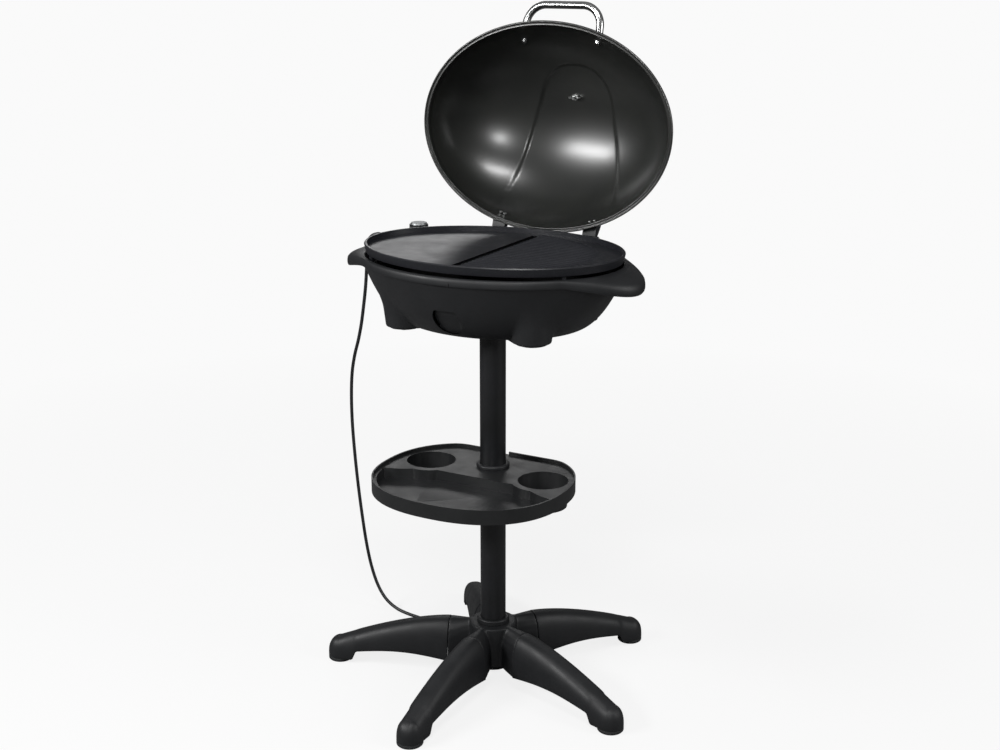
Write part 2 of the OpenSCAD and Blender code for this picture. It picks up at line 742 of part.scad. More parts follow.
module knob_cap() {
    color("#c8cacb") translate([-knob_x, thermo_y, knob_high])
        cylinder(r1 = knob_r - 2, r2 = knob_r - 3.2, h = plate_top - knob_high + 1);
}

// Mains lead: it leaves the guard level, falls to the floor and runs to the coil
cord_r = cord_d / 2;
guard_len = 38;
exit_x = case_x0 - guard_len;
exit_z = thermo_low + thermo_h / 2;
lay_z = cord_r + 0.1;
// Coil: the turns spiral in, climb one layer in half a turn, and spiral out
coil_mid = [-80, 145];
coil_turns = 1.25;
coil_in_r = 32;
coil_step = cord_d + 1.8;
coil_out_r = coil_in_r + coil_step * coil_turns;
ring_step = 15;
coil_low = lay_z;
coil_high = lay_z + cord_d + 0.7;
lay_y = coil_mid.y - coil_out_r;
plug_z = 18.5;
cord_route = [[exit_x, thermo_y, exit_z], [exit_x - 5, thermo_y, exit_z],
    [exit_x - 11, thermo_y, exit_z], [-357, 138, 837], [-366, 138, 828],
    [-371, 138, 815], [-372, 138, 795], [-374, 138, 765], [-378, 138, 725],
    [-384, 138, 685], [-391, 138, 645], [-400, 138, 608], [-410, 138, 575],
    [-418, 138, 535], [-422, 138, 485], [-422, 138, 425], [-418, 138, 360],
    [-412, 138, 290], [-404, 138, 220], [-394, 138, 150], [-382, 138, 95],
    [-366, 138, 52], [-345, 137, 24], [-318, 135, 9], [-288, 132, lay_z],
    [-250, 126, lay_z], [-212, 118, lay_z], [-172, 110, lay_z], [-132, 104, lay_z],
    [-104, lay_y, lay_z], [-95, lay_y, lay_z], [coil_mid.x - cord_d, lay_y, lay_z]];
tail_route = [[coil_mid.x + cord_d, lay_y, coil_high], [coil_mid.x + 14, lay_y, coil_high],
    [-58, lay_y, 13], [-46, lay_y, 16], [-36, lay_y, 18.3], [-31, lay_y, plug_z],
    [-26, lay_y, plug_z]];
cord_sides = 10;

function unit(v) = v / norm(v);
function mid_dir(p, i) = unit(p[min(i + 1, len(p) - 1)] - p[max(i - 1, 0)]);
function level_side(d) =
    let (c = cross(d, [0, 0, 1])) norm(c) > 0.2 ? unit(c) : [0, 1, 0];
function tube_ring(c, d, side, r, n) =
    let (up = unit(cross(side, d)))
    [for (k = [0:n - 1]) c + r * cos(360 * k / n) * side + r * sin(360 * k / n) * up];
// A point on the smooth curve through the route's points
function smooth(p, i, t) =
    let (a = p[max(i - 1, 0)], b = p[i], c = p[i + 1], d = p[min(i + 2, len(p) - 1)])
    0.5 * (2 * b + t * (c - a) + t * t * (2 * a - 5 * b + 4 * c - d)
        + t * t * t * (3 * b - a - 3 * c + d));
function finer(p, k) = concat(
    [for (i = [0:len(p) - 2]) for (j = [0:k - 1]) smooth(p, i, j / k)], [p[len(p) - 1]]);
module sweep(p, r, n) {
    skin([for (i = [0:len(p) - 1])
        let (d = mid_dir(p, i), side = [0, 1, 0] - d * d.y)
        tube_ring(p[i], d, unit(side), r, n)]);
}

function coil_point(a, r, z) = [coil_mid.x + r * sin(a), coil_mid.y - r * cos(a), z];
turn_a = 360 * coil_turns;
coil_path = concat([coil_point(0, coil_out_r, coil_low) - [cord_d, 0, 0]],
    [for (a = [0:ring_step:turn_a - eps])
        coil_point(a, coil_out_r - coil_step * a / 360, coil_low)],
    [for (a = [0:ring_step:180 - eps])
        coil_point(turn_a + a, coil_in_r, coil_low + (coil_high - coil_low) * ease(a / 180))],
    [for (a = [0:ring_step:turn_a])
        coil_point(turn_a + 180 + a, coil_in_r + coil_step * a / 360, coil_high)],
    [coil_point(0, coil_out_r, coil_high) + [cord_d, 0, 0]]);
coil_gap = min([for (i = [0:len(coil_path) - 1]) for (j = [i + 8:1:len(coil_path) - 1])
    norm(coil_path[i] - coil_path[j])]) - cord_d;
echo(coil_gap = coil_gap);

module power_cord() {
    color("#101112") sweep(finer(cord_route, 2), cord_r, cord_sides);
}
module cord_coil() {
    color("#101112") skin([for (i = [0:len(coil_path) - 1])
        let (d = mid_dir(coil_path, i))
        tube_ring(coil_path[i], d, level_side(d), cord_r, 6)]);
}
module cord_tail() {
    color("#101112") sweep(tail_route, cord_r, cord_sides);
}
guard_root = 6;
guard_root_r = 7;
module cord_guard() {
    color("#141516") translate([case_x0, thermo_y, exit_z]) rotate([0, -90, 0]) rotate_extrude()
        polygon([[0, -guard_root], [guard_root_r, -guard_root], [guard_root_r, 2],
            [cord_r + 3, 3], [cord_r + 1.2, guard_len], [0, guard_len]]);
}
plug_at = tail_route[len(tail_route) - 1];
plug_len = 43;
plug_pin_in = 6;
module plug_pin(s, r, from, to) {
    translate(plug_at + [from, s * 9.5, 0]) rotate([0, 90, 0]) cylinder(r = r, h = to - from);
}
module plug() {
    color("#121314") difference() {
        translate(plug_at) rotate([0, 90, 0]) rotate_extrude()
            polygon([[0, 0], [6, 0], [8, 10], [12, 18], [18, 24], [18.4, 30],
                [18.4, plug_len - 1], [17.4, plug_len], [0, plug_len]]);
        for (s = [-1, 1]) plug_pin(s, 2.4 + fit, plug_len - plug_pin_in - fit, plug_len + 1);
    }
}
module plug_pins() {
    color("#b9bbbc") for (s = [-1, 1]) plug_pin(s, 2.4, plug_len - plug_pin_in, plug_len + 19);
}

// Lid: drawn closed over the head, then turned open about the hinge
hinge_z = head_z + hinge_up;
lid_z = head_z + 3;
dome_a = lid_a - roll_w;
dome_b = lid_b - roll_w;
dome_n = 72;
module opened() {
    translate([0, hinge_y, hinge_z]) rotate([-lid_open, 0, 0])
        translate([0, -hinge_y, -hinge_z]) children();
}
// Half width of the tongue at a distance in front of the lid's middle
tongue_tip = 116;
tongue_blend = 12;
function tongue_half(f) =
    let (t = min(max((tongue_tip - f) / 72, 0), 1))
    (89 - f * (f < 0 ? 0.22 : 0.14)) * pow(1 - pow(1 - t, 2.4), 1 / 2.4);
function tongue_rise(x, y) =
    -y > tongue_tip ? 0 : tongue_h * ease((tongue_half(-y) - abs(x)) / tongue_blend + 0.5);
// One ring of the dome: q is 0 at the rim and 90 at the crown
function dome_ring(q, inset) =
    [for (i = [0:dome_n - 1]) let (s = 360 * i / dome_n,
        x = (dome_a - inset) * cos(q) * cos(s),
        y = (dome_b - inset) * cos(q) * sin(s))
        [x, y, lid_z + (dome_h - inset) * sin(q) + tongue_rise(x, y) * ease(q / 25)]];
dome_q = [4, 14, 25, 35, 44, 53, 61, 69, 77, 87];
module dome() {
    half = roll_t / 2;
    color("#2a2b2c") opened() difference() {
        skin(concat(
            [oval_ring(dome_a - 2, dome_b - 2, lid_z - half, dome_n),
             oval_ring(lid_a - 1.5, lid_b - 1.5, lid_z - half, dome_n),
             oval_ring(lid_a, lid_b, lid_z - half + 1.5, dome_n),
             oval_ring(lid_a, lid_b, lid_z + half - 1.5, dome_n),
             oval_ring(lid_a - 1.5, lid_b - 1.5, lid_z + half, dome_n),
             oval_ring(dome_a + 0.3, dome_b + 0.3, lid_z + half, dome_n)],
            [for (q = dome_q) dome_ring(q, 0)]));
        skin(concat(
            [oval_ring(dome_a - 2, dome_b - 2, lid_z - half - 1, dome_n),
             oval_ring(dome_a - 2, dome_b - 2, lid_z + 1, dome_n)],
            [for (q = dome_q) dome_ring(q, dome_t + (q < 8 ? 0.6 : 0))]));
        vent_place() cylinder(r = vent_bore, h = 30, center = true);
        vent_place() for (k = [60:120:300]) rotate([0, 0, k + 30])
            translate([11, 0, 0]) cylinder(r = 4.5, h = 30, center = true);
        grip_place() cylinder(r = 2.6, h = 60, center = true);
        leaf_screw_place() cylinder(r = 2.1, h = 30, center = true);
    }
}

// Direction square to the dome at a point, as two turns
function dome_z(x, y) =
    lid_z + dome_h * sqrt(1 - pow(x / dome_a, 2) - pow(y / dome_b, 2));
vent_front = 52;
vent_bore = 3.2;
vent_tilt = atan2(vent_front / pow(dome_b, 2), (dome_z(0, -vent_front) - lid_z) / pow(dome_h, 2));
vent_r = 24;
module vent_place() {
    translate([0, -vent_front, dome_z(0, -vent_front) + tongue_h]) rotate([vent_tilt, 0, 0])
        children();
}
module vent_shutter() {
    color("#191a1c") opened() vent_place() difference() {
        union() {
            translate([0, 0, 0.8]) cylinder(r = vent_r, h = 2);
            translate([-4, -vent_r, 2.6]) cube([8, 2 * vent_r, 7]);
        }
        cylinder(r = vent_bore, h = 30);
        for (k = [60:120:300]) rotate([0, 0, k - 30]) translate([11, 0, -1])
            cylinder(r = 4.5, h = 4.4);
    }
}
module vent_screw() {
    color("#b5b7b8") opened() vent_place() {
        translate([0, 0, -14]) cylinder(r = vent_bore - fit, h = 24);
        translate([0, 0, 9.8]) cylinder(r = 6, h = 3);
        translate([0, 0, -dome_t - 3.9]) cylinder(r = 6, h = 3.5);
        for (s = [-1, 1]) translate([s * 8.5, 0, -dome_t - 6.5]) rotate([90, 0, 0])
            cylinder(r = 4.5, h = 2, center = true);
    }
}

// Handle: a bent tube whose two feet are screwed to the front of the dome
grip_x = grip_span / 2;
grip_y = 163;
grip_base_z = dome_z(grip_x, -grip_y);
grip_pan = atan2(grip_x / pow(dome_a, 2), grip_y / pow(dome_b, 2));
grip_tilt = atan2(norm([grip_x / pow(dome_a, 2), grip_y / pow(dome_b, 2)]),
    (grip_base_z - lid_z) / pow(dome_h, 2));
grip_r = grip_d / 2;
grip_bend = 40;
grip_rise = 11;
grip_run = (grip_reach - grip_y) / cos(grip_rise) - grip_bend;
module grip_place() {
    for (s = [-1, 1]) translate([s * grip_x, -grip_y, grip_base_z])
        rotate([0, 0, s * grip_pan]) rotate([grip_tilt, 0, 0]) children();
}
grip_dir = [0, -cos(grip_rise), sin(grip_rise)];
grip_side = [0, sin(grip_rise), cos(grip_rise)];
grip_foot = 8;
grip_turn = [for (a = [0:15:90]) a];
// The tube's middle line as x, distance along the feet's direction and turned angle
grip_line = concat([[grip_x, grip_foot, 0]],
    [for (a = grip_turn) [grip_x - grip_bend * (1 - cos(a)), grip_run + grip_bend * sin(a), a]],
    [for (a = grip_turn) [-grip_x + grip_bend * (1 - sin(a)), grip_run + grip_bend * cos(a), a + 90]],
    [[-grip_x, grip_foot, 180]]);
function grip_flat(d) = unit(grip_side - d * (grip_side * d));
// The ring where a foot stands square on the dome
function grip_end(s) =
    let (n = [s * sin(grip_pan) * sin(grip_tilt), -cos(grip_pan) * sin(grip_tilt), cos(grip_tilt)])
    tube_ring([s * grip_x, -grip_y, grip_base_z] + fit * n, s * n, grip_flat(n), grip_r + 1, 16);
module lid_handle() {
    color("#c4c6c8") opened() skin(concat([grip_end(1)], [for (p = grip_line)
        let (d = cos(p.z) * grip_dir - [sin(p.z), 0, 0])
        tube_ring([p.x, -grip_y, grip_base_z] + p.y * grip_dir, d, grip_side, grip_r, 16)],
        [grip_end(-1)]));
}
// A flat head bears on the curved sheet at its rim, so it stands off in the middle
screw_off = 1;
leaf_screw_off = 1.9;
module handle_screws() {
    color("#b5b7b8") opened() grip_place() {
        translate([0, 0, -dome_t - screw_off - 3]) cylinder(r = 4.5, h = 3);
        translate([0, 0, -dome_t - screw_off - eps]) cylinder(r = 2.2, h = dome_t + screw_off + 5);
    }
}

// Hinges: a leaf on the dome, a base on the rim and a pin through both
leaf_w = 40;
lug_w = 6;
knuckle_r = 4;
leaf_up = 25;
leaf_gap = 0.4;
arm_w = leaf_w - 2 * lug_w;
leaf_y = dome_b * sqrt(1 - pow(hinge_x / dome_a, 2) - pow(leaf_up / dome_h, 2));
leaf_pan = atan2(hinge_x / pow(dome_a, 2), leaf_y / pow(dome_b, 2));
leaf_tilt = atan2(leaf_up / pow(dome_h, 2), leaf_y / pow(dome_b, 2));
module leaf_screw_place() {
    for (s = [-1, 1]) translate([s * hinge_x, leaf_y, lid_z + leaf_up])
        rotate([0, 0, -s * leaf_pan]) for (d = [-5, 5])
            translate([d, 0, 0]) rotate([leaf_tilt - 90, 0, 0]) children();
}
module knuckle_bores() {
    for (s = [-1, 1]) translate([s * hinge_x - leaf_w, hinge_y, hinge_z])
        rotate([0, 90, 0]) cylinder(r = pin_d / 2 + fit, h = 2 * leaf_w);
}
module hinge_leaves() {
    pad_z = lid_z + leaf_up;
    color("#2b2c2e") opened() difference() {
        for (s = [-1, 1]) translate([s * hinge_x - arm_w / 2, 0, 0]) {
            rotate([90, 0, 90]) linear_extrude(arm_w) polygon([
                [hinge_y - 4, hinge_z - 0.5], [hinge_y + knuckle_r, hinge_z],
                [hinge_y + 2, hinge_z + 7], [leaf_y + 8, pad_z + 7], [leaf_y - 4, pad_z + 10],
                [leaf_y - 4, pad_z - 14], [leaf_y + 12, hinge_z + 3]]);
            translate([0, hinge_y, hinge_z]) rotate([0, 90, 0]) cylinder(r = knuckle_r, h = arm_w);
        }
        knuckle_bores();
        skin([for (q = dome_q) if (q < 50) dome_ring(q, 0)]);
        leaf_screw_place() translate([0, 0, -1]) cylinder(r = 2.1, h = 9);
    }
}
module hinge_bases() {
    block_z = head_z - 12;
    block_h = 10.5;
    color("#1b1c1e") difference() {
        for (s = [-1, 1]) translate([s * hinge_x - leaf_w / 2, 0, 0]) {
            translate([-leaf_gap, leaf_y - 24, block_z])
                cube([leaf_w + 2 * leaf_gap, hinge_y + knuckle_r - leaf_y + 24, block_h]);
            for (e = [-leaf_gap, leaf_w - lug_w + leaf_gap]) translate([e, hinge_y, 0]) {
                translate([0, 0, hinge_z]) rotate([0, 90, 0]) cylinder(r = knuckle_r, h = lug_w);
                translate([0, -knuckle_r, block_z])
                    cube([lug_w, 2 * knuckle_r, hinge_z - block_z]);
            }
        }
        knuckle_bores();
        translate([0, 0, block_z - 1]) linear_extrude(block_h + 3)
            polygon(oval(head_a + 0.6, head_b + 0.6, bowl_n));
    }
}
module hinge_pins() {
    color("#b5b7b8") for (s = [-1, 1])
        translate([s * hinge_x - leaf_w / 2 - 3, hinge_y, hinge_z]) rotate([0, 90, 0])
            cylinder(d = pin_d, h = leaf_w + 6);
}
module hinge_screws() {
    color("#b5b7b8") opened() leaf_screw_place() {
        translate([0, 0, -dome_t - leaf_screw_off - 2]) cylinder(r = 3.6, h = 2);
        translate([0, 0, -dome_t - leaf_screw_off - eps])
            cylinder(r = 2, h = dome_t + leaf_screw_off + 7);
    }
}

hub();
leg(1);  // leg_1
leg(2);  // leg_2
leg(3);  // leg_3
leg(4);  // leg_4
leg(5);  // leg_5
foot(1);  // foot_1
foot(2);  // foot_2
foot(3);  // foot_3
foot(4);  // foot_4
foot(5);  // foot_5
leg_screws();
hub_collar();
lower_tube();
upper_tube();
tube_sleeve();
tray();
tray_collar();
pole_socket();
socket_screws();
bowl();
grease_drawer();
reflector();
grill_plate();
heating_rod();
rod_clips();
terminal_box();
thermostat_case();
thermostat_pins();
knob();
knob_cap();
cord_guard();
power_cord();
cord_coil();
cord_tail();
plug();
plug_pins();
dome();
lid_handle();
handle_screws();
vent_shutter();
vent_screw();
hinge_leaves();
hinge_bases();
hinge_pins();
hinge_screws();
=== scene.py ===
import json
from math import atan2, cos, degrees, hypot, pi, radians, sin, sqrt

import bpy
from mathutils import Matrix, Vector

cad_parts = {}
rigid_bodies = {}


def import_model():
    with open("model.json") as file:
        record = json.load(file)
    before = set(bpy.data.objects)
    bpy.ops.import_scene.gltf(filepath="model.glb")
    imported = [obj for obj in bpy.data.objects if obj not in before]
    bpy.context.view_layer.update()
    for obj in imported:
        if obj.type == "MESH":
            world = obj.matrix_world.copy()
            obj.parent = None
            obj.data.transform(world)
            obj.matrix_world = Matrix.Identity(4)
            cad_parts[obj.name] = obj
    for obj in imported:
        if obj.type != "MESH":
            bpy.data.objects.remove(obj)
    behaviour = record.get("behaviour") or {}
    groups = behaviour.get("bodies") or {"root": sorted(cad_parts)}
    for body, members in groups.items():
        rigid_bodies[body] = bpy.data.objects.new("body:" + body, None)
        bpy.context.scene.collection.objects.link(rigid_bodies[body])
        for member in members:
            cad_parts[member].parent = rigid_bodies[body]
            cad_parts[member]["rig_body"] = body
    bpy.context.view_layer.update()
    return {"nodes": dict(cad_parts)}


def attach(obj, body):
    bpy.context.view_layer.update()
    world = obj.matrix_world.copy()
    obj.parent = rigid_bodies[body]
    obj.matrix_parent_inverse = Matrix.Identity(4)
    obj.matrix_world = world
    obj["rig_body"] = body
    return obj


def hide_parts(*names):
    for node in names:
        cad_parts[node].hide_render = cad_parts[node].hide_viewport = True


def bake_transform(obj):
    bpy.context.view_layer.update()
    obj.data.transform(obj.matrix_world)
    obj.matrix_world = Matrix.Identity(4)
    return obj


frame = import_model()
cad = frame["nodes"]

# Camera: it stands in front and to the right of the grill, a little above the lid's
# hinge, where the photograph was taken. Its picture is 1000 by 750.
view_turn, view_pan, view_dip = radians(28.699), radians(-0.299), radians(16.313)
view_reach, view_height = 2.613031, 1.387564
bpy.ops.object.camera_add(
    location=(sin(view_turn) * view_reach, -cos(view_turn) * view_reach, view_height),
    rotation=(pi / 2 - view_dip, 0, view_turn + view_pan),
)
camera = bpy.context.object
camera.data.sensor_width = 36
camera.data.lens = 36 * 1430.347 / 1000
camera.data.clip_end = 60
bpy.context.scene.camera = camera


# Mains lead: two-core round flex with a smooth black PVC jacket, seven millimetres
# thick. It leaves the thermostat at the left rear, hangs to the floor and ends in a
# neat coil under the rear leg, with its plug beside it.
cord_thick = 0.007
cord_low = cord_thick / 2 + 0.0004
cord_high = cord_low + cord_thick + 0.0007
coil_x, coil_y, coil_inner = -0.080, 0.145, 0.032
coil_step, coil_turns = cord_thick + 0.0018, 1.25
coil_outer = coil_inner + coil_step * coil_turns
lay_y = coil_y - coil_outer
cord_drop = [
    (-0.333, 0.138, 0.8415), (-0.338, 0.138, 0.8415), (-0.344, 0.138, 0.8415),
    (-0.357, 0.138, 0.837), (-0.366, 0.138, 0.828), (-0.371, 0.138, 0.815),
    (-0.372, 0.138, 0.795), (-0.374, 0.138, 0.765), (-0.378, 0.138, 0.725),
    (-0.384, 0.138, 0.685), (-0.391, 0.138, 0.645), (-0.400, 0.138, 0.608),
    (-0.410, 0.138, 0.575), (-0.418, 0.138, 0.535), (-0.4216, 0.138, 0.485),
    (-0.4216, 0.138, 0.425), (-0.418, 0.138, 0.360), (-0.412, 0.138, 0.290),
    (-0.404, 0.138, 0.220), (-0.394, 0.138, 0.150), (-0.382, 0.138, 0.095),
    (-0.366, 0.138, 0.052), (-0.345, 0.137, 0.024), (-0.318, 0.135, 0.009),
    (-0.288, 0.132, cord_low), (-0.250, 0.126, cord_low), (-0.212, 0.118, cord_low),
    (-0.172, 0.110, cord_low), (-0.132, 0.104, cord_low), (-0.104, lay_y, cord_low),
    (-0.095, lay_y, cord_low), (coil_x - cord_thick, lay_y, cord_low),
]
plug_z = 0.0185
cord_tail = [
    (coil_x + cord_thick, lay_y, cord_high), (coil_x + 0.014, lay_y, cord_high),
    (-0.058, lay_y, 0.013), (-0.046, lay_y, 0.016), (-0.036, lay_y, 0.0183),
    (-0.031, lay_y, plug_z), (-0.026, lay_y, plug_z),
]


def eased(points, steps):
    """A smooth line through the points, with some steps between each two."""
    line = []
    for i in range(len(points) - 1):
        a, b, c, d = (
            Vector(points[max(0, min(len(points) - 1, k))]) for k in range(i - 1, i + 3)
        )
        for j in range(steps):
            t = j / steps
            line.append(
                0.5 * (2 * b + t * (c - a) + t * t * (2 * a - 5 * b + 4 * c - d)
                       + t ** 3 * (3 * b - a - 3 * c + d))
            )
    return line + [Vector(points[-1])]


def coil_point(turn, radius, z):
    """A place on the coil."""
    return Vector((coil_x + radius * sin(turn), coil_y - radius * cos(turn), z))


coil_line, inward, ring = [], 2 * pi * coil_turns, radians(7.5)
for k in range(round(inward / ring)):
    coil_line.append(coil_point(k * ring, coil_outer - coil_step * k * ring / (2 * pi), cord_low))
for k in range(round(pi / ring)):
    climb = (1 - cos(k * ring)) / 2
    coil_line.append(
        coil_point(inward + k * ring, coil_inner, cord_low + (cord_high - cord_low) * climb)
    )
for k in range(round(inward / ring) + 1):
    coil_line.append(
        coil_point(inward + pi + k * ring, coil_inner + coil_step * k * ring / (2 * pi), cord_high)
    )
lead_line = eased(cord_drop, 4) + coil_line + eased(cord_tail, 3)


def alone(piece):
    """Make this piece the only selected one."""
    bpy.ops.object.select_all(action="DESELECT")
    piece.select_set(True)
    bpy.context.view_layer.objects.active = piece


def round_bar(name, line, radius, rounds):
    """A round bar with closed ends, swept along a line of places."""
    curve = bpy.data.curves.new(name, "CURVE")
    curve.dimensions = "3D"
    spline = curve.splines.new("POLY")
    spline.points.add(len(line) - 1)
    for point, place in zip(spline.points, line):
        point.co = (*place, 1)
    curve.bevel_depth, curve.bevel_resolution, curve.use_fill_caps = radius, rounds, True
    piece = bpy.data.objects.new(name, curve)
    bpy.context.scene.collection.objects.link(piece)
    alone(piece)
    bpy.ops.object.convert(target="MESH")
    return bpy.context.object


mains_lead = round_bar("mains_lead", lead_line, cord_thick / 2, 4)
bpy.ops.object.shade_smooth()


def linear(code):
    """A colour written as a web code, turned to linear light."""
    parts = [int(code[k:k + 2], 16) / 255 for k in (1, 3, 5)]
    return (*[p / 12.92 if p <= 0.04045 else ((p + 0.055) / 1.055) ** 2.4 for p in parts], 1.0)


def add(material, kind, feeds=None, **settings):
    """Add a node to a material, with its settings and what feeds its inputs."""
    node = material.node_tree.nodes.new(kind)
    for key, value in settings.items():
        setattr(node, key, value)
    for key, value in (feeds or {}).items():
        if isinstance(value, bpy.types.NodeSocket):
            material.node_tree.links.new(value, node.inputs[key])
        else:
            node.inputs[key].default_value = value
    return node


def blank(name):
    """A new material with its surface shader and the object's own coordinates."""
    material = bpy.data.materials.new(name)
    material.use_nodes = True
    surface = material.node_tree.nodes["Principled BSDF"]
    place = add(material, "ShaderNodeTexCoord").outputs["Object"]
    return material, surface, place


def feed(material, surface, name, value):
    """Link a value to one input of the surface shader."""
    material.node_tree.links.new(value, surface.inputs[name])


def mottled(material, place, size, low, high):
    """Two colours mixed by a noise whose patches are about size metres."""
    noise = add(material, "ShaderNodeTexNoise",
                {"Vector": place, "Scale": 1 / size, "Detail": 3.0}).outputs["Fac"]
    ramp = add(material, "ShaderNodeValToRGB", {"Fac": noise})
    first, last = ramp.color_ramp.elements
    first.position, last.position = 0.3, 0.7
    first.color, last.color = low, high
    return ramp.outputs["Color"]


def grey(level):
    """A plain level as a colour, for a mottled roughness."""
    return (level, level, level, 1.0)


def grained(material, place, size, strength, depth, under=None):
    """A bump of fine grains, each about size metres across."""
    noise = add(material, "ShaderNodeTexNoise",
                {"Vector": place, "Scale": 1 / size, "Detail": 2.0}).outputs["Fac"]
    feeds = {"Height": noise, "Strength": strength, "Distance": depth}
    if under:
        feeds["Normal"] = under
    return add(material, "ShaderNodeBump", feeds).outputs["Normal"]


# PVC jacket: soft black plastic, drawn smooth, with a dull shine
pvc, surface, place = blank("pvc_jacket")
feed(pvc, surface, "Base Color", mottled(pvc, place, 0.03, linear("#141516"), linear("#1b1c1e")))
feed(pvc, surface, "Normal", grained(pvc, place, 0.0012, 0.15, 0.0001))
surface.inputs["Roughness"].default_value = 0.42
surface.inputs["IOR"].default_value = 1.53
mains_lead.data.materials.append(pvc)


def dressed(node, name, material, edge=0.0006, angle=32, flats=0.6):
    """A finished copy of a CAD piece: its triangles joined, its flats whole, its edges eased."""
    piece = bpy.data.objects.new(name, cad[node].data.copy())
    bpy.context.scene.collection.objects.link(piece)
    alone(piece)
    bpy.ops.object.mode_set(mode="EDIT")
    bpy.ops.mesh.select_all(action="SELECT")
    bpy.ops.mesh.remove_doubles(threshold=0.000005)
    if flats:
        bpy.ops.mesh.dissolve_limited(angle_limit=radians(flats))
    bpy.ops.object.mode_set(mode="OBJECT")
    bpy.ops.object.shade_smooth_by_angle(angle=radians(angle))
    if edge:
        bevel = piece.modifiers.new("eased_edges", "BEVEL")
        bevel.width, bevel.segments = edge, 2
        bevel.limit_method, bevel.angle_limit = "ANGLE", radians(angle)
        bevel.use_clamp_overlap = bevel.harden_normals = True
        bpy.ops.object.modifier_apply(modifier=bevel.name)
    piece.data.materials.clear()
    piece.data.materials.append(material)
    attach(piece, cad[node]["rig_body"])
    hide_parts(node)
    return piece


# Cord guard and plug: soft rubber sleeve moulded on the lead where it enters the
# thermostat, and a round moulded plug with two pins at the far end.
rubber, surface, place = blank("moulded_rubber")
feed(rubber, surface, "Base Color",
     mottled(rubber, place, 0.012, linear("#151618"), linear("#1d1e20")))
feed(rubber, surface, "Normal", grained(rubber, place, 0.0015, 0.3, 0.0002))
surface.inputs["Roughness"].default_value = 0.72
surface.inputs["IOR"].default_value = 1.52
cord_guard = dressed("cord_guard", "lead_guard", rubber, 0.0005)
plug = dressed("plug", "plug_body", rubber, 0.0008)

# Nickel-plated brass of the pins: bright, with fine turning marks
nickel, surface, place = blank("nickel_brass")
feed(nickel, surface, "Base Color",
     mottled(nickel, place, 0.004, linear("#b9b6a8"), linear("#cfcbbb")))
surface.inputs["Metallic"].default_value = 1.0
surface.inputs["Roughness"].default_value = 0.26
plug_pins = dressed("plug_pins", "plug_contacts", nickel, 0.0006)

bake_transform(mains_lead)
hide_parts("power_cord", "cord_coil", "cord_tail")


# Foot pads: round rubber feet pressed onto the leg tips. They carry the whole stand.
for k in range(1, 6):
    pad = dressed(f"foot_{k}", f"foot_pad_{k}", rubber, 0.0008)


# Legs: five hollow mouldings in glass-filled plastic, an arch in section, that fall
# and narrow to a rounded toe. Each plugs into an arm of the hub.
def surface_grid(name, across, along, shape):
    """A grid of faces whose corners are set in place by a shape function of 0..1, 0..1."""
    bpy.ops.object.select_all(action="DESELECT")
    bpy.ops.mesh.primitive_grid_add(x_subdivisions=across, y_subdivisions=along, size=2)
    piece = bpy.context.object
    piece.name = piece.data.name = name
    for v in piece.data.vertices:
        u, w = (v.co.x + 1) / 2, (v.co.y + 1) / 2
        v.co = shape(round(u * across) / across, round(w * along) / along)
    bpy.ops.object.mode_set(mode="EDIT")
    bpy.ops.mesh.select_all(action="SELECT")
    bpy.ops.mesh.remove_doubles(threshold=0.000005)
    bpy.ops.mesh.normals_make_consistent(inside=False)
    bpy.ops.object.mode_set(mode="OBJECT")
    return piece


def power(c, e):
    """A cosine or sine bent towards a square, for rounded box sections."""
    return (1 if c >= 0 else -1) * abs(c) ** (2 / e)


def ease(t):
    """0 to 1 with soft ends."""
    return (1 - cos(pi * min(max(t, 0), 1))) / 2


ring_r, arm_r, toe_r = 0.319, 0.088, 0.025
leg_top, toe_top, leg_under, pad_top = 0.112, 0.049, 0.028, 0.008
leg_half_hub, arch_power, leg_wall = 0.032, 2.7, 0.004
heel_r, bend_r, leg_bow = ring_r - toe_r - 0.003, ring_r - toe_r - 0.015, 0.009
straight_share = 0.72


def leg_point(u, w):
    """u goes over the arch from one side to the other, w from the hub to the toe."""
    if w < straight_share:
        r = arm_r + (ring_r - arm_r) * w / straight_share
        shut = 1.0
    else:
        swing = pi / 2 * (w - straight_share) / (1 - straight_share)
        r, shut = ring_r + toe_r * sin(swing), max(cos(swing), 0.0)
    t = (min(r, ring_r) - arm_r) / (ring_r - arm_r)
    half = (leg_half_hub * (1 - t) + toe_r * t) * shut
    bow = leg_bow * sin(pi * min(max((r - arm_r) / (bend_r - arm_r), 0), 1))
    floor = leg_under + bow - (leg_under - pad_top) * ease((r - bend_r) / (heel_r - bend_r))
    rise = (leg_top - (leg_top - toe_top) * t ** 1.5 - floor) * shut ** 0.7
    s = pi * u
    return Vector((r, half * power(cos(s), arch_power), floor + rise * power(sin(s), arch_power)))


# Glass-filled plastic with a spark-eroded mould finish: fine even grain, dull sheen
plastic, surface, place = blank("grained_plastic")
feed(plastic, surface, "Base Color",
     mottled(plastic, place, 0.05, linear("#151618"), linear("#1a1b1d")))
fine = grained(plastic, place, 0.0009, 0.5, 0.00012)
feed(plastic, surface, "Normal", grained(plastic, place, 0.02, 0.05, 0.001, fine))
feed(plastic, surface, "Roughness",
     mottled(plastic, place, 0.03, grey(0.46), grey(0.56)))
surface.inputs["IOR"].default_value = 1.46

